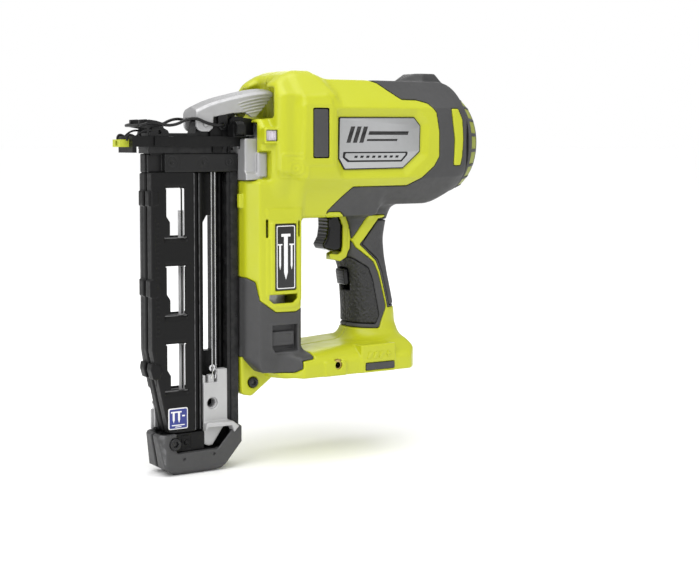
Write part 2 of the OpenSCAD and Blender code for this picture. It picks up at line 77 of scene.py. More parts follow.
# ---------------------------------------------------------------- materials
def mat(name, col, rough=0.4, metal=0.0, vary=0.06, vscale=35, grain=2600, gbump=0.12, gdist=0.00004,
        rvar=0.08, wear=0.12, wearcol=None, coat=0.0, spec=0.5, pattern=None, wscale=18, crease_shade=0.0):
    m = bpy.data.materials.new(name)
    m.use_nodes = True
    nt = m.node_tree
    N, L = nt.nodes, nt.links
    b = N["Principled BSDF"]
    b.inputs["Metallic"].default_value = metal
    b.inputs["Specular IOR Level"].default_value = spec
    b.inputs["Coat Weight"].default_value = coat
    b.inputs["Coat Roughness"].default_value = 0.15
    tc = N.new("ShaderNodeTexCoord")
    def noise(scale, detail=3, rough_=0.5, vec=None):
        n = N.new("ShaderNodeTexNoise")
        n.inputs["Scale"].default_value = scale
        n.inputs["Detail"].default_value = detail
        n.inputs["Roughness"].default_value = rough_
        L.new(vec or tc.outputs["Object"], n.inputs["Vector"])
        return n
    big = noise(vscale, 4)
    ramp = N.new("ShaderNodeMapRange")
    ramp.inputs["From Min"].default_value, ramp.inputs["From Max"].default_value = 0.3, 0.7
    ramp.inputs["To Min"].default_value, ramp.inputs["To Max"].default_value = 1 - vary, 1 + vary
    L.new(big.outputs["Fac"], ramp.inputs["Value"])
    hue = N.new("ShaderNodeVectorMath"); hue.operation = "SCALE"
    hue.inputs[0].default_value = col[:3]
    L.new(ramp.outputs["Result"], hue.inputs["Scale"])
    out = hue.outputs["Vector"]
    if wear > 0:
        geo = N.new("ShaderNodeNewGeometry")
        pr = N.new("ShaderNodeMapRange")
        pr.inputs["From Min"].default_value, pr.inputs["From Max"].default_value = 0.53, 0.60
        pr.inputs["To Max"].default_value = wear
        L.new(geo.outputs["Pointiness"], pr.inputs["Value"])
        wn = noise(wscale * 12, 5)
        wr = N.new("ShaderNodeMapRange")
        wr.inputs["From Min"].default_value, wr.inputs["From Max"].default_value = 0.38, 0.6
        L.new(wn.outputs["Fac"], wr.inputs["Value"])
        mu = N.new("ShaderNodeMath"); mu.operation = "MULTIPLY"
        L.new(pr.outputs["Result"], mu.inputs[0]); L.new(wr.outputs["Result"], mu.inputs[1])
        mx = N.new("ShaderNodeMix"); mx.data_type = "RGBA"
        wc = wearcol or [min(1, c * 1.5 + 0.12) for c in col[:3]]
        mx.inputs[7].default_value = (*wc, 1)
        L.new(mu.outputs[0], mx.inputs[0]); L.new(out, mx.inputs[6])
        out = mx.outputs[2]
    # painted shade: the colour darkens towards 0.35 of itself in concave creases, where pointiness is low
    if crease_shade > 0:
        geo2 = N.new("ShaderNodeNewGeometry")
        dr = N.new("ShaderNodeMapRange")
        dr.inputs["From Min"].default_value, dr.inputs["From Max"].default_value = 0.49, 0.42
        dr.inputs["To Max"].default_value = crease_shade
        L.new(geo2.outputs["Pointiness"], dr.inputs["Value"])
        mx2 = N.new("ShaderNodeMix"); mx2.data_type = "RGBA"
        mx2.inputs[7].default_value = (*[c * 0.35 for c in col[:3]], 1)
        L.new(dr.outputs["Result"], mx2.inputs[0]); L.new(out, mx2.inputs[6])
        out = mx2.outputs[2]
    L.new(out, b.inputs["Base Color"])
    mid = noise(vscale * 9, 3)
    rr = N.new("ShaderNodeMapRange")
    rr.inputs["From Min"].default_value, rr.inputs["From Max"].default_value = 0.3, 0.7
    rr.inputs["To Min"].default_value, rr.inputs["To Max"].default_value = max(0.03, rough - rvar), min(1, rough + rvar)
    L.new(mid.outputs["Fac"], rr.inputs["Value"])
    L.new(rr.outputs["Result"], b.inputs["Roughness"])
    bump = N.new("ShaderNodeBump")
    bump.inputs["Strength"].default_value = gbump
    bump.inputs["Distance"].default_value = gdist
    if pattern == "brush":       # long scratches along X
        mp = N.new("ShaderNodeMapping")
        mp.inputs["Scale"].default_value = (0.02, 1, 1)
        L.new(tc.outputs["Object"], mp.inputs["Vector"])
        h = noise(grain, 4, 0.65, mp.outputs["Vector"]).outputs["Fac"]
    elif pattern == "turned":
        mp = N.new("ShaderNodeMapping")
        mp.inputs["Scale"].default_value = (1, 0.03, 0.03)
        L.new(tc.outputs["Object"], mp.inputs["Vector"])
        h = noise(grain, 3, 0.6, mp.outputs["Vector"]).outputs["Fac"]
    elif pattern == "pebble":
        v = N.new("ShaderNodeTexVoronoi")
        v.inputs["Scale"].default_value = grain
        v.feature = "SMOOTH_F1"
        L.new(tc.outputs["Object"], v.inputs["Vector"])
        s = N.new("ShaderNodeMapRange")
        s.inputs["From Min"].default_value, s.inputs["From Max"].default_value = 0.15, 0.6
        s.inputs["To Min"].default_value, s.inputs["To Max"].default_value = 1, 0
        L.new(v.outputs["Distance"], s.inputs["Value"])
        h = s.outputs["Result"]
    else:
        h = noise(grain, 2, 0.6).outputs["Fac"]
    L.new(h, bump.inputs["Height"])
    L.new(bump.outputs["Normal"], b.inputs["Normal"])
    return m

M = {}
M["lime"] = mat("lime_moulded", (0.455, 0.485, 0.010), 0.38, vary=0.035, vscale=14, grain=2200, gbump=0.10, wear=0.10, rvar=0.07, crease_shade=0.25)
M["grey"] = mat("grey_soft", (0.050, 0.050, 0.051), 0.56, vary=0.10, vscale=30, grain=3000, gbump=0.30, gdist=0.00006, wear=0.18, spec=0.4)
M["black"] = mat("black_glass_filled", (0.0045, 0.0045, 0.0047), 0.40, vary=0.12, vscale=45, grain=2400, gbump=0.22, gdist=0.00005, wear=0.12, wearcol=(0.03, 0.03, 0.03), spec=0.20)
M["blackgloss"] = mat("black_gloss", (0.005, 0.005, 0.0055), 0.13, spec=0.5, vary=0.1, grain=2600, gbump=0.05, wear=0.10, wearcol=(0.10, 0.10, 0.10), rvar=0.06)
M["trigblack"] = mat("trigger_black", (0.0035, 0.0035, 0.004), 0.12, spec=0.32, vary=0.1, grain=2600, gbump=0.05, wear=0.10, wearcol=(0.10, 0.10, 0.10), rvar=0.05)
M["rubgrey"] = mat("heel_rubber", (0.048, 0.048, 0.049), 0.62, vary=0.12, vscale=40, grain=900, gbump=0.6, gdist=0.00018, wear=0.15, pattern="pebble", spec=0.4)
M["rubber"] = mat("grip_rubber", (0.021, 0.021, 0.022), 0.58, vary=0.12, vscale=40, grain=520, gbump=1.0, gdist=0.00060, wear=0.12, pattern="pebble", spec=0.45)
M["plate"] = mat("brushed_plate", (0.42, 0.425, 0.43), 0.34, metal=0.85, vary=0.05, vscale=25, grain=3600, gbump=0.35, gdist=0.00002, wear=0.2, pattern="brush", rvar=0.05)
M["cast"] = mat("cast_alloy", (0.40, 0.40, 0.405), 0.46, metal=0.55, vary=0.06, vscale=50, grain=1700, gbump=0.30, gdist=0.00005, wear=0.35, wearcol=(0.85, 0.85, 0.86), crease_shade=0.3)
M["steelblack"] = mat("black_oxide_steel", (0.007, 0.007, 0.0075), 0.34, metal=0.2, vary=0.12, vscale=40, grain=2000, gbump=0.15, wear=0.22, wearcol=(0.06, 0.06, 0.06), spec=0.35)
M["steel"] = mat("bright_steel", (0.62, 0.62, 0.63), 0.24, metal=1.0, vary=0.05, vscale=60, grain=2400, gbump=0.12, gdist=0.00002, wear=0.2, pattern="turned")
M["darksteel"] = mat("dark_screw", (0.10, 0.10, 0.105), 0.35, metal=0.8, vary=0.12, vscale=90, grain=2000, gbump=0.15, wear=0.5, wearcol=(0.4, 0.4, 0.4))
M["foot"] = mat("foot_grey", (0.045, 0.045, 0.046), 0.50, vary=0.10, vscale=36, grain=2600, gbump=0.28, gdist=0.00006, wear=0.28, wearcol=(0.26, 0.26, 0.27))
M["lens"] = mat("lens", (0.50, 0.46, 0.53), 0.12, vary=0.25, vscale=160, grain=900, gbump=0.25, gdist=0.0001, wear=0.0, coat=0.6)
M["brass"] = mat("brass", (0.60, 0.44, 0.16), 0.30, metal=1.0, vary=0.08, vscale=90, grain=2400, gbump=0.15, wear=0.3, pattern="turned")
M["blue"] = mat("blue_film", (0.022, 0.035, 0.22), 0.35, vary=0.05, grain=1500, gbump=0.05, wear=0.0)
M["white"] = mat("white_print", (0.78, 0.78, 0.79), 0.42, vary=0.03, grain=1500, gbump=0.05, wear=0.0)
M["board"] = mat("board", (0.02, 0.13, 0.05), 0.4, vary=0.15, grain=1200, gbump=0.2, wear=0.0)
M["copper"] = mat("copper_winding", (0.50, 0.24, 0.11), 0.3, metal=1.0, vary=0.1, grain=1400, gbump=0.5, gdist=0.0002, wear=0.2, pattern="turned")
M["pusher"] = mat("pusher_cast", (0.44, 0.44, 0.443), 0.50, metal=0.25, vary=0.04, vscale=50, grain=1800, gbump=0.25, gdist=0.00005, wear=0.3, wearcol=(0.8, 0.8, 0.8), crease_shade=0.25)
M["barblack"] = mat("bar_black", (0.0085, 0.0085, 0.0088), 0.42, vary=0.12, vscale=45, grain=2400, gbump=0.22, gdist=0.00005, wear=0.2, wearcol=(0.05, 0.05, 0.05), spec=0.28)
M["limedark"] = mat("lime_shadow", (0.24, 0.27, 0.035), 0.5, vary=0.05, grain=1800, gbump=0.2, wear=0.05)
M["limerub"] = mat("lime_rubber", (0.42, 0.46, 0.02), 0.55, vary=0.05, grain=1800, gbump=0.3, wear=0.1)
M["blackscrew"] = mat("black_screw", (0.012, 0.012, 0.013), 0.28, metal=0.3, vary=0.1, vscale=90, grain=2000, gbump=0.12, wear=0.25, wearcol=(0.12, 0.12, 0.12), spec=0.5)
M["guide"] = mat("guide_strip", (0.86, 0.86, 0.865), 0.45, metal=0.1, vary=0.06, vscale=60, grain=2400, gbump=0.1, gdist=0.00002, wear=0.2)
# bright steel used for the spring tape's painted edge highlights
M["tape"] = mat("bright_tape", (0.62, 0.62, 0.63), 0.30, metal=0.9, vary=0.05, vscale=60, grain=2400, gbump=0.1, gdist=0.00002, wear=0.2)

# ---------------------------------------------------------------- distance fields, mm
def inset(pts, r):
    """moves each edge of a polygon inwards by r"""
    P = [Vector(p) for p in pts]
    n = len(P)
    area = sum(P[i].x * P[(i + 1) % n].y - P[(i + 1) % n].x * P[i].y for i in range(n))
    sgn = 1 if area > 0 else -1
    out = []
    for i in range(n):
        a, b, c = P[i - 1], P[i], P[(i + 1) % n]
        e1, e2 = (b - a).normalized(), (c - b).normalized()
        n1 = Vector((-e1.y, e1.x)) * sgn
        n2 = Vector((-e2.y, e2.x)) * sgn
        den = 1 + n1.dot(n2)
        if den < 0.2:
            out.append(b + n1 * r)
        else:
            out.append(b + (n1 + n2) * (r / den))
    return [(p.x, p.y) for p in out]

def sdpoly(pts, X, Z):
    P = np.asarray(pts, dtype=np.float64)
    d = np.full(X.shape, 1e12)
    s = np.ones(X.shape)
    for i in range(len(P)):
        a, b = P[i], P[i - 1]
        ex, ez = b[0] - a[0], b[1] - a[1]
        wx, wz = X - a[0], Z - a[1]
        t = np.clip((wx * ex + wz * ez) / (ex * ex + ez * ez + 1e-12), 0, 1)
        d = np.minimum(d, (wx - ex * t) ** 2 + (wz - ez * t) ** 2)
        c1, c2, c3 = Z >= a[1], Z < b[1], ex * wz > ez * wx
        s = np.where((c1 & c2 & c3) | (~c1 & ~c2 & ~c3), -s, s)
    return (s * np.sqrt(d)).astype(F32)

def rmax(a, b, r):
    """intersection with an edge of radius r"""
    if r <= 0:
        return np.maximum(a, b)
    return np.minimum(np.maximum(a, b), -r) + np.sqrt(np.maximum(a + r, 0) ** 2 + np.maximum(b + r, 0) ** 2)

def rmin(a, b, r):
    """union with a fillet of radius r"""
    if r <= 0:
        return np.minimum(a, b)
    return np.maximum(np.minimum(a, b), r) - np.sqrt(np.maximum(r - a, 0) ** 2 + np.maximum(r - b, 0) ** 2)

def sstep(t):
    t = np.clip(t, 0, 1)
    return t * t * (3 - 2 * t)

class Grid:
    def __init__(s, lo, hi, h):
        s.lo, s.h = np.array(lo, float), h
        n = [int(math.ceil((hi[i] - lo[i]) / h)) + 1 for i in range(3)]
        s.x = (lo[0] + h * np.arange(n[0])).astype(F32)[:, None, None]
        s.y = (lo[1] + h * np.arange(n[1])).astype(F32)[None, :, None]
        s.z = (lo[2] + h * np.arange(n[2])).astype(F32)[None, None, :]
        s.Y = np.abs(s.y)
    def xz(s, pts, r=0.0):
        X, Z = np.meshgrid(s.x.ravel(), s.z.ravel(), indexing="ij")
        return (sdpoly(inset(pts, r) if r else pts, X, Z) - F32(r))[:, None, :]
    def xy(s, pts, r=0.0):
        X, Y = np.meshgrid(s.x.ravel(), s.y.ravel(), indexing="ij")
        return (sdpoly(inset(pts, r) if r else pts, X, Y) - F32(r))[:, :, None]
    def yz(s, pts, r=0.0):
        Y, Z = np.meshgrid(s.y.ravel(), s.z.ravel(), indexing="ij")
        return (sdpoly(inset(pts, r) if r else pts, Y, Z) - F32(r))[None, :, :]
    def slab(s, a, lo, hi):
        v = {"x": s.x, "y": s.y, "z": s.z}[a]
        return np.maximum(lo - v, v - hi)
    def box(s, lo, hi, r=0.0):
        q = [np.abs(v - (l + h_) / 2) - ((h_ - l) / 2 - r) for v, l, h_ in zip((s.x, s.y, s.z), lo, hi)]
        o = np.sqrt(np.maximum(q[0], 0) ** 2 + np.maximum(q[1], 0) ** 2 + np.maximum(q[2], 0) ** 2)
        return o + np.minimum(np.maximum(q[0], np.maximum(q[1], q[2])), 0) - r
    def cyl(s, ax, c, r, lo, hi):
        u, v = [q for k, q in (("x", s.x), ("y", s.y), ("z", s.z)) if k != ax]
        return np.maximum(np.sqrt((u - c[0]) ** 2 + (v - c[1]) ** 2) - r, s.slab(ax, lo, hi))

PIECES = []
def obj_from(name, verts, faces, material, body, smooth=True, sharp=None):
    me = bpy.data.meshes.new(name)
    me.from_pydata(verts, [], faces)
    me.validate(verbose=False)
    me.update()
    if smooth:
        me.polygons.foreach_set("use_smooth", [True] * len(me.polygons))
        if sharp:
            me.set_sharp_from_angle(angle=sharp * D2R)
    me.materials.append(M[material])
    o = bpy.data.objects.new(name, me)
    COL.objects.link(o)
    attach(o, body)
    PIECES.append(o)
    return o

def surface(g, d, flipy=False):
    """closed surface of a field, vertices in metres"""
    d = np.ascontiguousarray(np.broadcast_to(d, (g.x.shape[0], g.y.shape[1], g.z.shape[2])), dtype=F32)
    d = np.clip(d, -3 * g.h, 3 * g.h)
    for ax in range(3):
        for side in (0, -1):
            sl = [slice(None)] * 3
            sl[ax] = side
            d[tuple(sl)] = np.maximum(d[tuple(sl)], F32(0.4 * g.h))
    vg = vdb.FloatGrid(background=float(3 * g.h))
    vg.copyFromArray(d)
    pts, tris, quads = vg.convertToPolygons(isovalue=0.0, adaptivity=0.0)
    pts = pts * g.h + g.lo
    if flipy:
        pts = pts * np.array([1, -1, 1])
    q = np.asarray(quads, dtype=np.int64)
    # winding: signed volume must be positive
    a, b, c, e = (pts[q[:, i]] for i in range(4))
    vol = np.einsum("ij,ij->i", np.cross(a, b), c).sum() + np.einsum("ij,ij->i", np.cross(a, c), e).sum()
    if vol < 0:
        q = q[:, ::-1]
    return pts * 0.001, q

def drop_specks(pts, q, least=60):
    """removes loose islands smaller than a few faces"""
    n = len(pts)
    lab = np.arange(n)
    for _ in range(200):
        m = lab[q].min(axis=1)
        new = lab.copy()
        for i in range(4):
            np.minimum.at(new, q[:, i], m)
        new = new[new]
        if (new == lab).all():
            break
        lab = new
    fl = lab[q[:, 0]]
    ids, cnt = np.unique(fl, return_counts=True)
    keep = np.isin(fl, ids[cnt >= least])
    q = q[keep]
    used = np.unique(q)
    mp = np.full(n, -1, dtype=np.int64)
    mp[used] = np.arange(len(used))
    return pts[used], mp[q]

def sdf_obj(name, g, d, material, body, replaces=(), flipy=False, both=False, specks=0):
    p, q = surface(g, d, flipy)
    if specks:
        p, q = drop_specks(p, q, specks)
    if len(q) == 0:
        print("EMPTY", name)
        return None
    o = obj_from(name, p.tolist(), q.tolist(), material, body)
    if replaces:
        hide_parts(*replaces)
    print("piece", name, len(q))
    return o

# ---------------------------------------------------------------- moulded body (left half, mirrored for the right)
H = 0.8
g = Grid((-58.4, -40.8, 48.0), (128.0, 1.6, 279.2), H)
BADGE = [(11.5, 244), (76, 244.5), (81.5, 238.5), (81, 219.5), (66, 207.5), (16, 207), (11, 215)]

def hand(g):
    """field of the pistol grip, an oval that follows the hand"""
    zz = g.z.ravel()
    zf = [60, 84, 104, 120, 134, 143, 150, 190]
    front = np.interp(zz, zf, [39.5, 39.5, 39.5, 38.5, 37, 33.4, 31.2, 30.5])
    zr = [60, 84, 100, 112, 128, 142, 156, 169, 176, 190]
    rear = np.interp(zz, zr, [78, 77.5, 77, 75, 71, 68.5, 67.5, 70, 73, 82])
    k = np.ones(9) / 9
    sm = lambda v: np.convolve(np.pad(v, 4, mode="edge"), k, mode="valid")
    front, rear = sm(front), sm(rear)
    cx, ax = ((front + rear) / 2).astype(F32)[None, None, :], ((rear - front) / 2).astype(F32)[None, None, :]
    bw = sm(np.interp(zz, [60, 100, 125, 150, 165, 190], [17.3, 17.4, 17.2, 15.8, 15.8, 17])).astype(F32)[None, None, :]
    n = 2.6
    f = ((np.abs(g.x - cx) / ax) ** n + (g.Y / bw) ** n) ** (1 / n)
    return (f - 1) * 16.0

def body_field(g, left=True):
    x, y, z, Y = g.x, g.y, g.z, g.Y
    barrel = g.yz([(-37, 201), (-21, 181), (21, 181), (37, 201), (37, 251), (21, 271), (-21, 271), (-37, 251)], 2.2)
    barrel = rmax(barrel, g.xz([(-19, 150), (58, 160), (124, 193), (124, 300), (-19, 300)], 3), 3.5)
    rho = np.sqrt(y * y + (z - 228.0) ** 2)
    barrel = rmax(barrel, (rho - (40.9 + (124 - x) * 0.62)) * 0.85, 4)
    barrel = rmax(barrel, x - 124, 2)
    bulb = g.yz([(-34.5, 206), (-19.5, 190), (19.5, 190), (34.5, 206), (34.5, 259), (18, 277.4), (-18, 277.4), (-34.5, 259)], 3)
    bulb = rmax(bulb, -37 - x, 8)
    bulb = rmax(bulb, g.xz([(-39, 170), (-37.5, 261), (-34, 267.5), (-26, 273.2), (-15.5, 277.4), (-3, 277.4), (4, 269.5), (9, 260), (9, 170)], 3), 3)
    collar = g.yz([(-28, 204), (-20, 196), (20, 196), (28, 204), (28, 235), (20, 243), (-20, 243), (-28, 235)], 4)
    collar = rmax(rmax(collar, -46 - x, 3.5), x + 28, 1)
    post = g.xy([(-54, -16), (-47, -26), (-15, -26), (-12, -23), (-12, 23), (-15, 26), (-47, 26), (-54, 16)], 2.0)
    post = rmax(post, g.xz([(-54.5, 199.9), (-54.5, 77), (-44, 66.5), (-23, 64.2), (-15, 66.5), (-11.5, 70.5), (-11.5, 199.9)], 1.5), 2.5)
    bridge = g.box((-18, -24, 173), (52, 24, 202), 3)
    handle = rmax(hand(g) - 2.2 * sstep((96 - z) / 12.0), g.slab("z", 72, 188), 2)
    base = g.xy([(-34, -16), (-18.6, -37.4), (72, -37.4), (78, -31.4), (78, 31.4), (72, 37.4), (-18.6, 37.4), (-34, 16)], 3.5)
    base = rmax(base, 62 - z, 1.2)
    base = rmax(base, (z - 73.5 - (38 - Y) * 0.84) * 0.766, 2.5)
    base = rmax(base, z - (80.2 + 0.075 * x), 3)
    base = rmax(base, (z - 74 - (x + 34) * 0.9) * 0.743, 3)
    base = rmax(base, (z - 80 - (78 - x) * 1.3) * 0.61, 3)
    lug = rmax(g.xz([(-54, 84), (-53.2, 50.4), (-45.4, 48.8), (-27.6, 61.6), (-27.6, 84)], 3), Y - 11, 1.2)
    hump = g.xz([(79, 262), (82, 271.6), (96, 277.4), (110.4, 277.4), (118.4, 269), (118.4, 262)], 0.5)
    hump = rmax(hump, np.maximum(Y - 13.2 + (z - 268) * 0.12, -0.567 * (x - 97.6) + 0.765 * (Y - 13.2) + 0.299 * (z - 269)), 0.5)
    # put together
    d = rmin(barrel, bulb, 7)
    d = rmin(d, rmin(post, bridge, 5), 8)
    d = rmin(d, handle, 4)
    d = rmin(d, base, 6)
    d = rmin(d, collar, 2)
    d = rmin(d, hump, 1.5)
    # raised and sunk details on the sides
    bd = g.xz(BADGE, 0)
    up = -2.6 * np.clip((6.2 - bd) / 5.0, 0, 1) * (Y > 30)
    fp = g.xz([(-11, 215.5), (1.5, 215.5), (1.5, 250), (-11, 250)], 0)
    fo = g.xz([(-18.5, 213), (-16.5, 257.4), (1.4, 258.4), (4.4, 255.6), (4.4, 211.6), (-14.8, 211.6)], 0)
    up = np.where(fo < 4, np.maximum(up, 1.35 * np.clip((2.2 - fo) / 2.6, 0, 1) * (Y > 30)), up)
    shield = g.xz([(-41.6, 121), (-41.6, 180.3), (-13.6, 180.3), (-13.6, 117), (-18, 111.5), (-35, 111.5)], 1)
    side26 = (Y > 20) & (Y < 30)
    up = np.where(side26, np.maximum(up, 0.9 * sstep((0.8 - shield) / 1.2)), up)
    fr = g.xz([(-39, 120.6), (-17.5, 120.6), (-17.5, 171.5), (-39, 171.5)], 1.2)
    up = np.where(side26, np.maximum(up, 2.0 * sstep((0.4 - fr) / 1.0)), up)
    rc = g.xz([(-37.3, 99.4), (-17.3, 99.4), (-17.3, 81), (-34.9, 80.4), (-37.3, 84)], 0)
    if left:
        up = np.where(side26, np.maximum(up, 0.7 * sstep((1.8 - rc) / 1.2)), up)
    pic = g.xz([(-34, 202), (-15.2, 201.6), (-14.8, 218), (-33.4, 218.4)], 2.5)
    ring = np.sqrt((g.x + 23.2) ** 2 + (g.z - 208.2) ** 2)
    line = np.minimum(np.abs(pic), np.minimum(np.abs(ring - 4.6), np.abs(ring - 1.9)))
    line = np.minimum(line, np.maximum(np.abs(g.z - 214.6), np.abs(g.x + 22.5) - 4.5))
    if left:
      up = np.where((line < 1.2) & (Y > 24) & (pic < 1.4), up + 0.55 * sstep((1.2 - line) / 0.9), up)
    d = d - up.astype(F32)
    # boss and panel on the battery base
    d = rmin(d, g.box((-1.5, -38.45, 62.2), (16.1, -28, 72.6), 0.9), 1.0)
    d = rmin(d, g.box((28.6, -37.95, 62.2), (58.2, -26, 82.0 if left else 74.0), 0.9), 0.8)
    # lamp frame, front nub
    d = rmin(d, g.box((-45.8, -31.8, 225.3), (-33.2, -26, 236.6), 1.2), 1.0)
    d = rmin(d, g.box((-56.3, -14.2, 181), (-52, -10, 191), 0.8), 0.8)
    # hollow round the latch lever
    pocket = rmax(g.xy([(-62, -46), (-45.0, -37.5), (-24.8, -12.6), (-24.8, 12.6), (-45.0, 37.5), (-62, 46)], 0), g.slab("z", 243.0, 264.5), 2)
    sweep = rmax(np.sqrt((x + 80) ** 2 + (z - 238.5) ** 2) - 60.6, np.maximum(Y - 11.4, 243 - z), 2.0)
    d = rmax(d, -pocket, 1.6)
    d = rmax(d, -sweep, 4.0)
    d = rmax(d, -rmax(np.maximum(x + 38.2, 21.0 - Y), g.slab("z", 200.9, 220.4), 1.0), 0.8)
    cav = d + 2.4
    d = rmin(d, lug, 1.0)
    # sunk plates, slots and pockets
    cuts = [np.maximum(g.xz([(p[0], p[1]) for p in BADGE], 0) - 0.25, 33.9 - Y),
            np.maximum(fp - 0.2, 36.1 - Y),
            np.maximum(g.xz([(-35.6, 123.4), (-18.4, 123.4), (-18.4, 170.1), (-35.6, 170.1)], 0), np.maximum(25.1 - Y, Y - 30)),
            g.box((32.4, -45, 63.6), (57.2, -36.6, 69.0), 0.2),
            g.box((-41.6, -30, 160.2), (-40.1, -22.6, 173.6), 0.3), g.box((-16.6, -30, 160.6), (-15.1, -22.6, 172), 0.3),
            g.box((-44.5, -33, 227.1), (-35.6, -28.0, 234.9), 0.4)]
    if left:
        cuts += [rmax(g.xz([(-39.6, 120.8), (-39.6, 118), (-36.4, 114.6), (-20.6, 114.6), (-17.4, 117.6), (-17.4, 120.8)], 0), np.maximum(21.2 - Y, Y - 30), 0.3),
                 np.maximum(rc, np.maximum(21.4 - Y, Y - 30))]
    else:
        for sx, sz, sy in SCREWS:
            rr = np.sqrt((x - sx) ** 2 + (z - sz) ** 2)
            d = rmin(d, np.maximum(np.maximum(rr - 5.0, Y - min(sy + 1.3, 38.45)), sy - 5 - Y), 0.6)
            cuts.append(np.maximum(rr - 3.45, sy - Y))
    for c in cuts:
        d = rmax(d, -c, 0.5)
    if left:
      d = rmin(d, rmax(g.box((-36.6, -24.6, 84.6), (-18.6, -20, 94.8), 1.0), -g.box((-34, -26, 86.4), (-21, -24.0, 93), 0.5), 0.4), 0.5)
    floor_ = g.box((38, -15, 55), (75, 15, 68), 0)
    if left:
        floor_ = np.minimum(floor_, np.maximum(rc - 2.2, 19.2 - Y))
    cav = np.maximum(cav, -floor_)
    cav = np.maximum(cav, -np.maximum(fr + 0.0, 22.6 - Y))
    cav = np.maximum(cav, -np.maximum(bd - 5, 31.6 - Y))
    d = np.maximum(d, -cav)
    # ways through the wall
    d = rmax(d, -g.box((-50, -20, 200.0), (-42, 20, 240), 0.5), 0.5)
    d = rmax(d, -g.box((20, -8.75, 144), (41, 8.75, 181), 1), 0.8)
    d = rmax(d, -g.box((28, -6.3, 117.6), (48, 6.3, 134.9), 1), 0.8)
    d = rmax(d, -g.box((42.5, -14.6, 58), (73.5, 14.6, 68.8), 0.5), 0.6)
    d = np.maximum(d, -g.cyl("y", (9.5, 69.5), 4.15, -36.9, 36.9))
    d = rmax(d, -g.cyl("y", (9.5, 69.5), 2.75, -60, 60), 0.3)
    d = np.maximum(d, -g.cyl("y", (-44.5, 58.5), 3.85, -60, 60))
    d = np.maximum(d, Y - 38.48)
    d = np.maximum(d, -g.cyl("x", (0, 226), 33.2, 112, 130))
    d = np.maximum(d, -g.box((-50, -12.2, 221.8), (-38, -8.8, 232.2), 0.2))
    return d

SCREWS = [(-42.5, 184, 26), (-20, 93, 26), (-20, 118, 26), (-22, 205, 37), (-22, 246, 37), (70, 71, 37.3), (52, 165, 17.5)]

# colour regions, drawn in the side view; a later one wins
REAR = [(40, 272.5), (51.5, 269), (59, 263), (67, 257), (80, 256.8), (88.5, 254.6), (94.8, 248), (97.5, 234),
        (97.5, 216), (93, 209), (82, 200.6), (71.6, 195), (25.8, 194.8), (8.2, 177.2), (8.2, 168),
        (18, 150), (18, 92.6), (40, 91.2), (57, 90.4), (63.4, 105), (71, 105.2), (82, 105.4), (90, 160), (145, 160), (145, 300), (40, 300)]
LOW = [(-60, 133), (-53, 133), (-48.6, 130), (-46.5, 117), (-34, 108.4), (-18, 108), (-8, 113.5), (-9.6, 90), (-11.6, 87),
       (-8.4, 75.2), (-18.4, 74.2), (-18.4, 69), (-22.5, 66), (-46, 66), (-54, 77), (-60, 77)]
SURR = [(8, 177), (19.5, 177), (22.5, 174.6), (24, 172.8), (32.6, 172.6), (34.8, 168), (36.2, 158), (35.8, 149), (34.2, 143.4), (28, 139.6), (16, 141)]
CHEV = [(48.0, 173.4), (36.2, 155.6), (39.3, 149.9), (53.2, 139.1), (56.9, 131.3), (63.3, 107.2), (63.3, 103), (65.2, 103), (65.0, 107.4), (58.8, 131.6), (55.4, 139.9), (42.2, 152.2), (57.8, 170.4), (64.6, 171.4), (64.6, 173.4)]
GRIP = [(16, 141.5), (29.5, 143.9), (36.8, 142.8), (48.9, 135.0), (52.3, 125.3), (55.5, 109.4), (57.4, 99.8), (54.6, 93.6), (40, 94.4), (16, 95.6)]
RINS = [(57.6, 169.6), (43.6, 152.4), (57.0, 140.6), (60.6, 132), (66.9, 106.6), (84, 106.6), (84, 169.8)]
SLOT = [(108.2, 251), (114.2, 251), (118.2, 243), (119.2, 228.7), (118.2, 216), (116.4, 209.2), (110.4, 209.2), (111.4, 228)]
r2 = {k_: g.xz(v, r_) for k_, v, r_ in (("rear", REAR, 2.0), ("low", LOW, 1.2), ("surr", SURR, 2), ("chev", CHEV, 0), ("grip", GRIP, 1.5), ("rins", RINS, 0.6), ("slot", SLOT, 1.0))}
r2["slot"] = np.maximum(r2["slot"], 26 - g.Y)
r2["low"] = np.maximum(r2["low"], -np.maximum(g.slab("x", -61, -20), np.maximum(g.Y - 11.3, g.z - 77)))
order = ["low", "rear", "grip", "rins", "chev", "surr", "slot"]
own = {}
for i_, k_ in enumerate(order):
    o_ = r2[k_]
    for j_ in order[i_ + 1:]:
        o_ = np.maximum(o_, -r2[j_])
    own[k_] = o_
lime_r = -np.minimum(np.minimum(np.minimum(own["low"], own["rear"]), np.minimum(own["grip"], own["rins"])), own["slot"])
GAP = 0.14
REPL = {"lime": "{s}_housing", "rear": "{s}_overmould", "low": "{s}_lower_cover"}
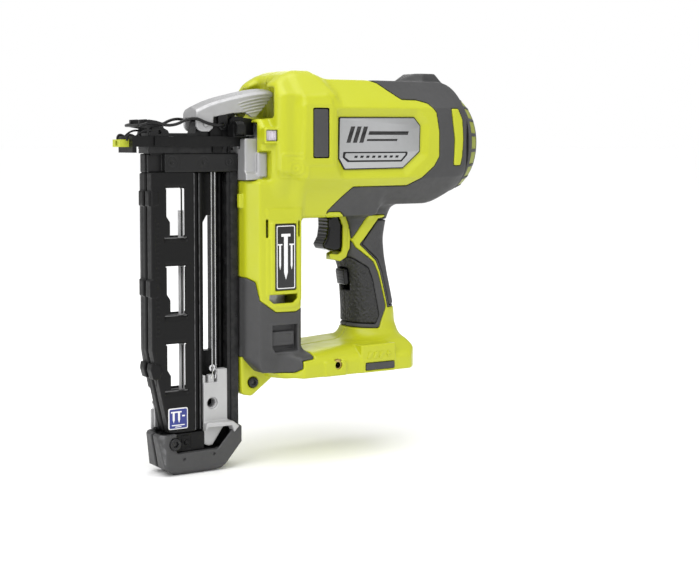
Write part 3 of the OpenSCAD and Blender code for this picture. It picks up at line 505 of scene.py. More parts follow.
for s_ in ("left", "right"):
    half = rmax(body_field(g, s_ == "left"), g.y + 0.07, 0.45)
    parts = {
        "lime": (rmax(half, lime_r + GAP, 0.7), "lime", "housing_shell"),
        "rear": (rmax(half, own["rear"] + GAP, 0.7), "grey", "overmould"),
        "low": (rmax(half, own["low"] + GAP, 0.7), "grey", "lower_cover_shell"),
        "grip": (rmax(half - 0.35, own["grip"] + GAP + 0.2, 1.0), "rubber", "grip_panel"),
        "rins": (rmax(half, own["rins"] + GAP + 0.25, 0.7), "rubgrey", "heel_panel"),
        "slot": (rmax(half - 0.3, own["slot"] + GAP, 0.6), "lime", "rear_slot_insert"),
    }
    for key, (dd, mt, nm) in parts.items():
        p_, q_ = surface(g, dd)
        p_, q_ = drop_specks(p_, q_, 80)
        print("piece", s_, nm, len(q_))
        if s_ == "right":
            p_, q_ = p_ * np.array([1, -1, 1]), q_[:, ::-1]
        o_ = obj_from(s_ + "_" + nm, p_.tolist(), q_.tolist(), mt, "tool_body")
        if key in REPL:
            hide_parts(REPL[key].format(s=s_))
        elif s_ == "left":
            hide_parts({"grip": "grip_sleeve", "rins": "rear_grip_insert", "slot": "rear_bumper_pads"}[key])
del parts, own, r2, half

# battery well inside the grip, its corners follow the oval
g = Grid((40, -16, 60.6), (76, 16, 120), 0.5)
lim = hand(g) + 2.7 - 40 * sstep((90 - g.z) / 4.0)
d = rmax(rmax(g.xz([(42.6, 62.2), (73.4, 62.2), (73.4, 103), (70.2, 106.2), (70.2, 118), (42.6, 118)], 1.0), g.Y - 14.5, 2.0), lim, 1.0)
inn = rmax(rmax(g.xz([(44.6, 58), (71.4, 58), (71.4, 102), (68.2, 105.2), (68.2, 112), (44.6, 112)], 0.6), g.Y - 12.5, 1.2), lim + 2.0, 0.6)
d = rmax(d, -inn, 0.3)
sdf_obj("battery_well", g, d, "black", "tool_body", ("battery_socket",))

# ---------------------------------------------------------------- mesh helpers (mm)
def fillet(pts, r, n=4):
    """rounds the corners of a polygon"""
    out = []
    k = len(pts)
    for i in range(k):
        a, b, c = (Vector(pts[j % k]) for j in (i - 1, i, i + 1))
        u, v = (a - b), (c - b)
        lu, lv = u.length, v.length
        u, v = u / lu, v / lv
        ang = math.acos(max(-1, min(1, u.dot(v))))
        if ang > 3.0 or r <= 0:
            out.append((b.x, b.y)); continue
        t = min(r / math.tan(ang / 2), 0.45 * lu, 0.45 * lv)
        p0, p1 = b + u * t, b + v * t
        for j in range(n + 1):
            s_ = j / n
            q_ = (1 - s_) ** 2 * p0 + 2 * s_ * (1 - s_) * b + s_ ** 2 * p1
            out.append((q_.x, q_.y))
    return out

def ring(cx, cy, r, n=32, ph=0.0):
    return [(cx + r * math.cos(ph + 2 * math.pi * i / n), cy + r * math.sin(ph + 2 * math.pi * i / n)) for i in range(n)]

def star(cx, cy, r, n=6, k=0.72):
    return [(cx + (r if i % 2 == 0 else r * k) * math.cos(math.pi * i / n), cy + (r if i % 2 == 0 else r * k) * math.sin(math.pi * i / n)) for i in range(2 * n)]

def prism(pts, a0, a1, bev=0.4, axis="y", holes=(), res=2):
    """bevelled block with an outline and holes; gives vertices in mm and faces"""
    a0, a1 = min(a0, a1), max(a0, a1)
    bev = min(bev, (a1 - a0) / 2 - 0.01)
    cu = bpy.data.curves.new("c", "CURVE")
    cu.dimensions, cu.fill_mode = "2D", "BOTH"
    for loop in [pts] + list(holes):
        sp = cu.splines.new("POLY")
        sp.points.add(len(loop) - 1)
        for i, p in enumerate(loop):
            sp.points[i].co = (p[0], p[1], 0, 1)
        sp.use_cyclic_u = True
    cu.bevel_depth, cu.bevel_resolution = bev, res - 1
    cu.extrude = (a1 - a0) / 2 - bev
    cu.offset = -bev
    ob = bpy.data.objects.new("c", cu)
    COL.objects.link(ob)
    dg = bpy.context.evaluated_depsgraph_get()
    me = bpy.data.meshes.new_from_object(ob.evaluated_get(dg))
    bm = bmesh.new()
    bm.from_mesh(me)
    bmesh.ops.remove_doubles(bm, verts=bm.verts, dist=0.0008)
    bmesh.ops.dissolve_degenerate(bm, dist=0.0005, edges=bm.edges)
    bmesh.ops.recalc_face_normals(bm, faces=bm.faces)
    mid = (a0 + a1) / 2
    vs = []
    bm.verts.ensure_lookup_table()
    for v in bm.verts:
        x_, y_, z_ = v.co
        vs.append({"y": (x_, mid + z_, y_), "x": (mid + z_, x_, y_), "z": (x_, y_, mid + z_)}[axis])
    fs = [[v.index for v in f.verts] for f in bm.faces]
    if axis == "y":
        fs = [f[::-1] for f in fs]
    bm.free()
    bpy.data.objects.remove(ob)
    bpy.data.meshes.remove(me)
    bpy.data.curves.remove(cu)
    return vs, fs

def lathe(prof, axis="x", c=(0, 0), n=64):
    """closed profile [(along, radius)] turned about an axis"""
    vs, fs = [], []
    k = len(prof)
    for i in range(n):
        t = 2 * math.pi * i / n
        for (a, r) in prof:
            u, v = c[0] + r * math.cos(t), c[1] + r * math.sin(t)
            vs.append({"x": (a, u, v), "y": (u, a, v), "z": (u, v, a)}[axis])
    for i in range(n):
        j = (i + 1) % n
        for q_ in range(k):
            q2 = (q_ + 1) % k
            if prof[q_][1] < 1e-6 and prof[q2][1] < 1e-6:
                continue
            fs.append((i * k + q_, i * k + q2, j * k + q2, j * k + q_))
    return vs, fs

def tube(path, r, n=10):
    """round bar along a list of 3-D points"""
    P_ = [Vector(p) for p in path]
    vs, fs = [], []
    up = None
    for i, p in enumerate(P_):
        t = ((P_[min(i + 1, len(P_) - 1)] - P_[max(i - 1, 0)])).normalized()
        if up is None:
            up = t.orthogonal().normalized()
        up = (up - t * up.dot(t)).normalized()
        w_ = t.cross(up)
        for j in range(n):
            a = 2 * math.pi * j / n
            vs.append(tuple(p + up * (r * math.cos(a)) + w_ * (r * math.sin(a))))
    for i in range(len(P_) - 1):
        for j in range(n):
            k_ = (j + 1) % n
            fs.append((i * n + j, i * n + k_, (i + 1) * n + k_, (i + 1) * n + j))
    fs.append(tuple(range(n))[::-1])
    fs.append(tuple((len(P_) - 1) * n + j for j in range(n)))
    return vs, fs

def arc(p0, p1, p2, n=8):
    a, b, c = Vector(p0), Vector(p1), Vector(p2)
    return [tuple((1 - t) ** 2 * a + 2 * t * (1 - t) * b + t * t * c) for t in (i / n for i in range(n + 1))]

def mirror(chunk):
    vs, fs = chunk
    return [(x, -y, z) for x, y, z in vs], [f[::-1] for f in fs]

def part(name, chunks, material, body, replaces=(), sharp=32, twin=False):
    """one piece out of several closed shells"""
    vs, fs = [], []
    lst = list(chunks)
    if twin:
        lst += [mirror(c) for c in chunks]
    for v_, f_ in lst:
        o_ = len(vs)
        vs += [(a * 0.001, b * 0.001, c * 0.001) for a, b, c in v_]
        fs += [[i + o_ for i in f] for f in f_]
    # drop unused vertices
    used = sorted({i for f in fs for i in f})
    mp = {u: i for i, u in enumerate(used)}
    ob = obj_from(name, [vs[u] for u in used], [[mp[i] for i in f] for f in fs], material, body, True, sharp)
    bm = bmesh.new(); bm.from_mesh(ob.data)
    bmesh.ops.remove_doubles(bm, verts=bm.verts, dist=1e-7)
    bmesh.ops.recalc_face_normals(bm, faces=bm.faces)
    bm.to_mesh(ob.data); bm.free()
    ob.data.polygons.foreach_set("use_smooth", [True] * len(ob.data.polygons))
    ob.data.set_sharp_from_angle(angle=sharp * D2R)
    if replaces:
        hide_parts(*replaces)
    return ob

# ---------------------------------------------------------------- magazine
WIN = [(162.5, 195.3), (109.7, 142.4), (58.1, 89.4)]
g = Grid((-122.6, -10.2, 26.8), (-80.6, 0.0, 207.6), 0.5)
d = rmax(g.xz([(-120, 206.3), (-120, 86), (-118.4, 77), (-108, 28.4), (-82, 28.4), (-82, 206.3)], 1.0), g.slab("y", -9, -1.2), 0.8)
d = rmax(d, -g.box((-88.2, -14, 20), (-84.4, -5.6, 210), 0.4), 0.7)
d = rmax(d, -g.box((-85, -14, 20), (-81, -7.4, 210), 0.2), 0.6)
for w0, w1 in WIN:
    hole = g.xz([(-108.9, w0 + 14), (-106.3, w0 + 10), (-106.3, w0), (-98.1, w0), (-98.1, w1), (-108.9, w1)], 0.7)
    d = rmax(d, -hole, 0.5)
    d = np.maximum(d, -g.box((-97.1, -12, w0 + 0.4), (-95.5, 2, w1 - 0.3), 0.2))
    d = rmax(d, -g.box((-111.2, -7.3, w0 - 1.2), (-90.2, 4, w1 + 1.2), 0.6), 0.4)
    ledge = np.maximum(np.maximum(g.slab("x", -110.6 , -93.6), g.slab("z", w0 - 4.0, w0 + 0.2)), (g.y + 9 - (g.z - w0 + 4.0) * 0.62) * 0.85)
    d = rmax(d, -ledge, 0.25)
    top = np.maximum(np.maximum(g.slab("x", -109.8, -94.6), g.slab("z", w1 - 0.2, w1 + 2.6)), (g.y + 9 + (g.z - w1 - 2.6) * 0.5) * 0.9)
    d = rmax(d, -top, 0.25)
# front clips, fine rib and grip marks
d = np.minimum(d, rmax(g.box((-121.5, -8.3, 183.4), (-117, -1.4, 193.8), 0.6), -9 - g.y, 0.5))
d = np.minimum(d, rmax(g.xz([(-121.5, 122.4), (-121.5, 133.6), (-118.6, 134.6), (-113.6, 131.2), (-113.4, 125.0), (-117, 121.6)], 0.6), g.slab("y", -9.5, -2), 0.4))
d = rmin(d, rmax(g.xz([(-119.4, 193.6), (-115.2, 193), (-114.6, 184.6), (-119.4, 183.4)], 0.6), g.slab("y", -9.4, -8), 0.3), 0.3)
d = rmin(d, g.box((-118.0, -9.4, 62), (-117.3, -8.5, 176), 0.2), 0.3)
CATCH = [(-120.6, 77.6), (-121.4, 73), (-119.6, 66.6), (-115, 66.4), (-112.8, 71.4), (-114.6, 76.4)]
d = rmin(d, rmax(g.xz(CATCH, 0.8), g.slab("y", -9.7, -2), 0.6), 0.4)
for i in range(24):
    d = rmin(d, g.box((-116.6, -9.25, 96 + i * 3.3), (-114.9, -8.5, 97.2 + i * 3.3), 0.15), 0.15)
# catch hollow near the bend
d = rmax(d, -g.box((-109.1, -14, 30.9), (-94.0, -8.75, 46.2), 0.4), 0.2)
sdf_obj("near_magazine_half", g, d, "black", "tool_body", ("left_magazine_cover",))

g = Grid((-123.4, 0.2, 26.8), (-54.2, 12.8, 207.4), 0.62)
d = rmax(g.xz([(-120, 206.3), (-120, 86), (-118.4, 77), (-108, 28.4), (-55.2, 28.4), (-55.2, 206.3)], 1.2), g.slab("y", 1.2, 9), 1.2)
for w0, w1 in WIN:
    d = rmax(d, -g.box((-106.3, 0, w0), (-84.2, 20, w1), 0.7), 0.6)
    d = rmax(d, -g.box((-111.2, -2, w0 - 1.2), (-83, 7.3, w1 + 1.2), 0.6), 0.4)
d = rmax(d, -g.xz([(-76.8, 81.8), (-69.8, 81.8), (-69.8, 176), (-73.8, 176), (-76.8, 171)], 0.5), 0.4)
d = rmin(d, rmax(g.xz(CATCH, 0.8), g.slab("y", 2, 9.7), 0.6), 0.4)
d = rmax(d, -g.box((-84, 7.6, 50), (-80, 20, 196), 0.5), 0.6)
d = rmax(d, -g.box((-66, 7.8, 60), (-60, 20, 196), 0.8), 0.6)
d = np.minimum(d, rmax(g.box((-121.5, 1.4, 183.4), (-117, 9.2, 193.8), 0.6), g.y - 9.6, 0.5))
d = np.minimum(d, rmax(g.xz([(-121.5, 122.4), (-121.5, 133.6), (-118.6, 134.6), (-113.6, 131.2), (-113.4, 125.0), (-117, 121.6)], 0.6), g.slab("y", 2, 9.5), 0.4))
d = rmin(d, rmax(g.box((-120, 6, 58), (-113.5, 11.3, 205.8), 1.2), g.xz([(-120, 206.3), (-120, 86), (-118.4, 77), (-114.4, 58), (-100, 58), (-100, 205.8)], 0.5), 0.6), 0.5)
for z0 in (28.4, 46.4):
    d = rmin(d, g.box((-111.3, 7, z0), (-106, 12, z0 + 2.2), 0.3), 0.5)
d = np.maximum(d, -g.cyl("z", (-110, 10.7), 0.95, 28, 50))
sdf_obj("far_magazine_half", g, d, "black", "tool_body", ("right_magazine_cover",))

g = Grid((-121.4, -10.2, 205.2), (-54.2, 10.2, 219.6), 0.45)
d = g.box((-120, -9.3, 206.1), (-54.6, 9.3, 218.7), 0.5)
d = rmax(d, -np.maximum(np.abs(g.y) - 1.2, -99 + 0 * g.x), 0.3)
d = rmax(d, -g.box((-125, -20, 200), (-110, -4, 225), 0), 0.5)
d = rmax(d, -g.box((-99.3, -20, 200), (-98.6, -9.0, 225), 0), 0.2)
for cx_, cz_, r_ in ((-104.6, 213, 3.6), (-81, 213, 3.4), (-61.5, 213, 2.6)):
    rr = np.sqrt((g.x - cx_) ** 2 + (g.z - cz_) ** 2)
    d = rmax(d, -np.maximum(np.abs(rr - r_) - 0.35, -8.9 - g.y if False else g.y + 8.95), 0.15)
    d = rmax(d, -np.maximum(rr - 1.2, g.y + 8.8), 0.15)
sdf_obj("top_bar", g, d, "barblack", "tool_body", ("magazine_top_bar",))

part("side_rail", [prism([(-63, -1.3), (-63, -7.7), (-61.9, -8.1), (-61.0, -8.2), (-60.6, -9), (-55.2, -9), (-55.2, -1.3)], 28.3, 206, 0.45, "z"),
                   prism([(-65.6, -0.9), (-64.4, -0.9), (-64.4, 1.6), (-65.6, 1.6)], 30, 205.5, 0.3, "z")],
     "steelblack", "tool_body", ("magazine_rail",))
# spring strip: dark band with two bright edges; the edges are painted highlights, laid on as thin bright steel beads
tp_ = part("tape_band", [prism([(-73.8, -6.15), (-71.3, -6.15), (-71.3, -5.95), (-73.8, -5.95)], 72.6, 206, 0.05, "z")], "steelblack", "tool_body", ("spring_tape",))
te_ = part("tape_edges", [tube([(x_, -6.1, 72.6), (x_, -6.1, 206)], 0.34, 10) for x_ in (-74.0, -71.2)], "tape", "tool_body")
for o_ in (tp_, te_):
    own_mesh(o_)
part("nail_guide", [prism([(-96.2, -0.5), (-92.3, -0.5), (-92.3, 0.5), (-96.2, 0.5)], 30, 180, 0.15, "z")], "guide", "tool_body")

# ---------------------------------------------------------------- pusher
g = Grid((-83.4, -17, 17.5), (-55.6, 1.4, 72.6), 0.4)
plate_ = rmax(g.xz([(-81.7, 20), (-81.7, 62.4), (-63.4, 62.4), (-63.4, 31.4), (-66.6, 31), (-75.2, 18.9), (-78, 18.6)], 0.6), g.slab("y", -8.6, -6.2), 0.5)
blk = rmax(g.xz([(-81.7, 35.6), (-81.7, 62.4), (-63.4, 62.4), (-63.4, 35.6)], 0.5), g.slab("y", -7, -2.2), 0.4)
d = np.minimum(plate_, blk)
d = np.minimum(d, g.box((-71.0, -8.6, 60), (-63.4, -2.2, 71.4), 0.6))
d = np.minimum(d, rmax(g.box((-81.7, -7.4, 60), (-79.6, -2.4, 67.6), 0.4), 0 * g.x - 9, 0))
d = np.minimum(d, g.box((-77.4, -7.4, 60), (-73.0, -3.4, 67.8), 0.4))
d = np.minimum(d, g.box((-80, -2.6, 40), (-66, 0.5, 62), 0.4))
tab = rmax(g.xz([(-81.7, 34.6), (-80, 35.4), (-62.4, 35.4), (-57.6, 31.6), (-61.4, 27.6), (-63.4, 32.4), (-80.2, 32.4), (-81.7, 30)], 0.3), g.slab("y", -15.6, -7.6), 0.8)
taper = (g.xy([(-82, -7), (-82, -12.6), (-70, -15.6), (-56.8, -15.6), (-60, -7)], 0.8))
d = rmin(d, np.maximum(tab, taper), 0.9)
d = rmax(d, -g.cyl("y", (-74.9, 48), 4.0, -20, -6.5), 0.5)
d = rmax(d, -g.cyl("y", (-74.9, 48), 3.2, -20, 3), 0.3)
g.lo[2] -= 1.6
sdf_obj("pusher_block", g, d, "pusher", "pusher", ("pusher",))
hooks = [tube(arc((-75.6, -7.4, 63.4), (-74.4, -8.6, 68), (-74.0, -6.6, 73), 8) , 0.45, 8),
         tube(arc((-72.4, -7.4, 63.4), (-71.6, -8.4, 68), (-71.3, -6.6, 73), 8), 0.45, 8),
         lathe([(-6.6, 1.0), (-4.6, 1.0), (-4.6, 2.4), (-6.6, 2.4)], "y", (-74, 70.6), 32)]
part("coil_hooks", hooks, "steel", "pusher", ("spring_coil",))

# ---------------------------------------------------------------- foot
FSX = -106.0
def foot_half(name, s_, nodes, mt):
    g = Grid((-118.6, -15.2, -1.0), (-53.8, -0.6, 32), 0.45)
    inner = rmax(g.xz([(-115.5, 27), (-108.6, 28), (-55.2, 28), (-55.2, 18), (-70, 1.2), (-84, 0.2), (-105, 0.2), (-112.4, 5)], 1.0), g.slab("y", -9.6, -1.6), 0.8)
    if s_ < 0:
        out = [(-117.3, 27.6), (-115.6, 28.8), (-108.2, 28.2), (-110.2, 16.9), (-102.5, 15.2), (-73.7, 15.4), (-60.2, 30.2), (-57, 30.9), (-55.0, 29.4), (-55.0, 18.6), (-70.2, 1.2), (-84, 0.3), (-105.5, 0.9), (-113.3, 5.1)]
    else:
        out = [(-117.3, 27.6), (-115.6, 28.8), (-102, 29), (-60.2, 30.2), (-57, 30.9), (-55.0, 29.4), (-55.0, 18.6), (-70.2, 1.2), (-84, 0.3), (-105.5, 0.9), (-113.3, 5.1)]
    o2 = g.xz(out, 0.8)
    skin = rmax(rmax(o2, g.slab("y", -14, -8.6), 1.1), 0 * g.x - 99, 0)
    wrap = rmax(g.xz([(-117.3, 27.6), (-115.6, 28.8), (-112.6, 28.2), (-112.6, 14), (-104, 3.4), (-84, 2.8), (-70.6, 4.0), (-58, 18.8), (-58, 30.6), (-55.0, 29.4), (-55.0, 18.6), (-70.2, 1.2), (-84, 0.3), (-105.5, 0.9), (-113.3, 5.1)], 0.3), g.slab("y", -14, -1.6), 0.8)
    skin = np.minimum(skin, wrap)
    # wide facets: front end and lower edge
    skin = rmax(skin, (-(g.x + 110.6) * 0.9 - (g.y + 14) * 0.9 - (g.z - 14) * 0.0) * 0.62 - 0.9, 0.4)
    low = (-(g.z - 4.4) * 0.8 - (g.y + 14) * 1.0) * 0.78
    skin = rmax(skin, low, 0.5)
    if s_ < 0:
        inner = rmax(inner, -g.box((-82, -12.4, 15.8), (-62, 0, 40), 0.6), 0.5)
        inner = rmax(inner, -g.box((-99.4, -12.6, 16.8), (-92.2, -8.9, 26.6), 0.4), 0.4)
        inner = rmin(inner, rmax(g.cyl("y", (-95.6, 21.8), 1.6, -11.0, -8), 0 * g.x - 9, 0.3), 0.3)
        inner = rmin(inner, g.cyl("y", (FSX, 22), 5.4, -12.0, -9), 0.8)
        skin = rmin(skin, rmax(np.maximum(np.sqrt((g.x - FSX) ** 2 + (g.z - 22) ** 2) - 6.6, g.x + FSX * -1 - 1.5), g.slab("y", -13.6, -9), 1.2), 1.2)
        skin = rmax(skin, -g.box((-82, -12.4, 15.8), (-62, 0, 40), 0.6), 0.5)
    inner = np.maximum(inner, -(skin - 0.12))
    for nm_, d, m_, rp_ in ((name, skin, mt, nodes), (name + "_core", inner, "black", ())):
        d = np.maximum(d, -g.cyl("y", (FSX if s_ < 0 else -104, 22), 4.15, -20, -10))
        for px_, pz_ in ((-99.2, 11.0), (-76.6, 12.2)):
            d = rmax(d, -g.cyl("y", (px_, pz_), 1.0, -20, -12.6), 0.3)
        sdf_obj(nm_, g, d, m_, "tool_body", rp_, flipy=(s_ > 0), specks=60)
foot_half("near_foot", -1, ("left_foot",), "foot")
foot_half("far_foot", 1, ("right_foot",), "foot")

# ---------------------------------------------------------------- latch lever
g = Grid((-89.4, -12.0, 232.4), (-23.4, 12.0, 265.2), 0.42)
xs = np.array([-94, -86.8, -78, -70, -58, -50, -42, -34, -27, -22])
zs = np.array([246.5, 250.0, 253.9, 256.5, 259.4, 261.2, 262.6, 263.4, 262.8, 261.6])
top = np.interp(g.x.ravel(), xs, zs)
k7 = np.ones(15) / 15
top = np.convolve(np.pad(top, 7, mode="edge"), k7, mode="valid").astype(F32)[:, None, None]
crown = top - 0.25 * g.Y + 0.6 - 0.6 * np.maximum(g.Y - 8.2, 0)
prof = g.xz([(-86.9, 270), (-86.9, 243.4), (-83.4, 241.9), (-60.1, 246.2), (-49.4, 247.0), (-44.5, 243.7), (-40.9, 243.7), (-27.4, 259.2), (-25.6, 262), (-25.6, 270)], 0.9)
d = rmax(prof, (g.z - crown) * 0.93, 0.5)
d = rmax(d, g.Y - 10.5, 0.45)
inn = np.maximum(np.maximum(g.z - (crown - 2.4), g.Y - 8.3), g.xz([(-84.6, 270), (-84.6, 230), (-45, 230), (-33, 256.5), (-33, 270)], 0))
d = rmax(d, -inn, 0.5)
rid = np.full(np.broadcast(g.x, g.z).shape, 0.0, dtype=F32)
for i in range(5):
    z0 = 248.6 + i * 2.15
    ln = np.abs(g.z - (z0 + 0.16 * (g.x + 36) - 0.004 * (g.x + 38) ** 2))
    m = sstep((g.x + 50 - (i * -1.6)) / 2.5) * (g.x < -27)
    rid = np.maximum(rid, sstep((0.85 - ln) / 0.7) * m)
d = d - 0.5 * rid * (g.Y > 8)
ck = []
cheek = rmax(g.xz([(-86.9, 246), (-86.9, 237), (-85.4, 234.6), (-83, 233.6), (-77.4, 233.6), (-74.4, 236), (-73.6, 246)], 1.0), np.maximum(g.Y - 10.5, 8.1 - g.Y), 0.6)
d = rmin(d, cheek, 0.6)
cheek2 = rmax(g.xz([(-70.5, 247), (-70, 237), (-68, 234.8), (-65, 234.8), (-63, 237), (-62.4, 247)], 0.8), np.maximum(g.Y - 10.5, 9.0 - g.Y), 0.4)
hook = np.maximum(cheek2, np.maximum(g.Y - 10.2, 8.6 - g.Y))
d = np.maximum(d, -g.cyl("y", (-80, 238.5), 1.6, -12, 12))
sdf_obj("lever", g, d, "cast", "latch", ("latch_lever",))
hook = np.maximum(hook, -g.cyl("y", (-66.6, 238), 1.3, -12, 12))
sdf_obj("lever_hooks", g, hook, "steelblack", "latch", ())

# ---------------------------------------------------------------- nose casting
g = Grid((-60.6, -23.2, 199.2), (-37.6, 23.2, 230.4), 0.5)
d = g.box((-54.8, -19.5, 200.4), (-42, 19.5, 229), 1.0)
foot_ = rmax(g.box((-55.0, -21.6, 200.4), (-42, 21.6, 208.2), 0.8), (g.Y - 19.5) * 0.62 + (g.z - 206.2) * 0.78, 0.4)
d = rmin(d, foot_, 0.5)
d = rmin(d, g.box((-46.4, -22.6, 202), (-38.4, 22.6, 219.6), 1.8), 0.8)
d = np.maximum(d, -g.box((-62, -9.4, 198), (-54.5, 9.4, 218.85), 0))
rr = np.sqrt(g.y ** 2 + (g.z - 226) ** 2)
d = rmin(d, np.maximum(rr - 14.4, g.slab("x", -42.05, -39)), 0.5)
d = np.maximum(d, -g.box((-62, -1.7, 221), (-36, 1.7, 231), 0))
d = rmax(d, -np.maximum(np.maximum(8.9 - g.Y, g.Y - 12.2), g.slab("z", 222, 232.4)), 0.4)
sdf_obj("casting", g, d, "cast", "tool_body", ("nose_casting",))

# ---------------------------------------------------------------- rear end cap
prof = [(119.2, 0.0), (119.2, 32.6), (124.05, 32.6), (124.05, 36.6)] + arc((124.05, 36.8, 0), (124.05, 37.9, 0), (125.0, 37.95, 0), 4)
prof += [(126.2, 37.9), (126.5, 37.3), (126.5, 36.3), (127.2, 35.0), (131.8, 34.2)]
dome = fillet([(132.0, 34.9), (133.2, 34.2), (137.0, 29.0), (139.6, 20.0), (141, 8), (141, 0)], 2.5, 4)
dome[-1] = (140.98, 0)
prof += [p for p in dome if p[0] <= 140.99]
prof = [(p[0], p[1]) for p in prof]
part("end_cap", [lathe(prof, "x", (0, 226), 96)], "grey", "tool_body", ("rear_end_cap",), 40)
part("vent_band", [lathe([(126.6, 35.6), (126.6, 36.9), (126.9, 37.15), (131.3, 35.7), (131.8, 35.2), (131.8, 34.6), (128, 34.6)], "x", (0, 226), 96)], "limedark", "tool_body", ("vent_ring",), 40)
sp_ = []
NS = 20
for i in range(NS):
    t = 2 * math.pi * (i + 0.5) / NS
    v_, f_ = prism([(-1.5, 0), (1.5, 0), (1.2, 0), (-1.5, 0)][:0] + [(126.3, 34.8), (132.2, 34.2), (132.4, 35.2), (131.4, 36.1), (126.9, 37.9), (126.3, 37.8)], -1.15, 1.15, 0.3, "y")
    ct, st_ = math.cos(t), math.sin(t)
    sp_.append(([(x, y * ct + z * st_, 226 - y * st_ + z * ct) for x, y, z in v_], f_))
part("cap_spokes", sp_, "grey", "tool_body", (), 35)

# ---------------------------------------------------------------- trigger
g = Grid((11.4, -9.6, 144.8), (36.6, 9.6, 180.2), 0.35)
tr = g.xz([(19.3, 171.5), (19.6, 165), (18.4, 158), (15.2, 152.4), (17, 149.4), (25, 147.2), (33, 148), (34, 172), (33, 174.5), (27.5, 176.3), (22.6, 174)], 1.0)
rows = np.clip((g.z - 150.5) / 20.0, 0, 1)
rid_ = (0.5 - 0.5 * np.cos((g.z - 151) * 2 * math.pi / 2.5)) * ((g.z > 151) & (g.z < 171))
frontness = sstep((23.5 - g.x) / 3.0)
d = rmax(tr, g.Y - 8, 2.2) + 0.42 * rid_.astype(F32) * frontness * (g.Y < 7.0)
d = rmin(d, g.cyl("y", (31, 175), 3.4, -7.9, 7.9), 1.0)
d = rmax(d, -g.box((24, -5.6, 140), (40, 5.6, 160), 1.0), 0.6)
d = np.maximum(d, -g.cyl("y", (31, 175), 1.75, -12, 12))
sdf_obj("trigger_blade", g, d, "trigblack", "trigger", ("trigger",))
# mode switch with grip ribs
ms = [prism(fillet([(35.0, 122.7), (36.2, 122.1), (40.6, 122.3), (43.4, 125.4), (43.4, 133.4), (40.4, 133.8), (34.0, 134.0), (33.7, 131)], 1.0), -5.6, 5.6, 0.7, "y")]
for i in range(4):
    ms.append(prism(fillet([(34.6 - i * 0.34, 124.7 + i * 2.2), (37, 124.7 + i * 2.2), (37, 125.9 + i * 2.2), (34.4 - i * 0.34, 125.9 + i * 2.2)], 0.4), -5.0, 5.0, 0.3, "y"))
ms.append(prism([(38.2, 127), (43, 127), (43, 133), (38.2, 133)], -4, 4, 0.3, "y"))
part("mode_button", ms, "trigblack", "mode_switch", ("mode_switch",))

# ---------------------------------------------------------------- plates, pads and prints (no lettering)
bi = inset(BADGE, 0.8)
part("badge_frames", [prism(fillet(BADGE, 1.0), -34.95, -34.0, 0.3, "y")], "blackgloss", "tool_body", (), 32, True)
part("badge_faces", [prism(fillet(bi, 1.2), -35.25, -34.2, 0.35, "y")], "plate", "tool_body", ("badge_plates",), 32, True)
DY = 0.85
def slant(x, z, w_, h_, k_=0.35):
    return [(x, z), (x + w_, z), (x + w_ + h_ * k_, z + h_), (x + h_ * k_, z + h_)]
marks = [prism(slant(17.5 + i * 5.4, 226, 3.4, 11.5), -35.35, -35.2, 0.02, "y") for i in range(3)]
marks += [prism(slant(36, 231.6, 34, 2.6), -35.35, -35.2, 0.02, "y"), prism(slant(34.6, 227.2, 26, 1.5), -35.35, -35.2, 0.02, "y")]
part("badge_marks", marks, "blackgloss", "tool_body", (), 32, True)
low = [prism(fillet([(18.4, 212.4), (64.6, 212.4), (69.6, 217.2), (70, 219.6), (15, 219.6), (14.4, 215.6)], 0.8), -35.35, -35.2, 0.04, "y", [fillet([(20, 213.6), (64, 213.6), (68, 217.4), (68.2, 218.6), (17, 218.6), (16.2, 216)], 0.8)])]
low += [prism([(24 + i * 5, 215.3), (26.6 + i * 5, 215.3), (27.2 + i * 5, 216.9), (24.6 + i * 5, 216.9)], -35.35, -35.2, 0.02, "y") for i in range(8)]
part("badge_line", low, "steelblack", "tool_body", (), 32, True)
npl = fillet([(-35.3, 123.8), (-18.7, 123.8), (-18.7, 169.7), (-35.3, 169.7)], 1.2)
part("side_plates", [prism(npl, -27.1, -25.0, 0.4, "y")], "blackgloss", "tool_body", ("name_plates",), 32, True)
rim_ = [prism(fillet([(-34.3, 124.8), (-19.7, 124.8), (-19.7, 168.7), (-34.3, 168.7)], 1.2), -27.2, -27.0, 0.04, "y", [fillet([(-33.7, 125.4), (-20.3, 125.4), (-20.3, 168.1), (-33.7, 168.1)], 1.0)])]
def nail(cx, z0, z1, w_, hw_, y0, y1, tip=4.0):
    return prism([(cx - w_, z0 + tip), (cx, z0), (cx + w_, z0 + tip), (cx + w_, z1 - w_ * 1.3), (cx + hw_, z1 - w_ * 1.3), (cx + hw_, z1), (cx - hw_, z1), (cx - hw_, z1 - w_ * 1.3), (cx - w_, z1 - w_ * 1.3)], y0, y1, 0.03, "y")
rim_.append(nail(-27, 131, 163, 1.5, 3.6, -27.2, -27.0, 5))
rim_.append(nail(-31.6, 138, 156, 0.7, 1.8, -27.2, -27.0, 3))
rim_.append(nail(-22.4, 138, 156, 0.7, 1.8, -27.2, -27.0, 3))
part("side_marks", rim_, "white", "tool_body", (), 32, True)
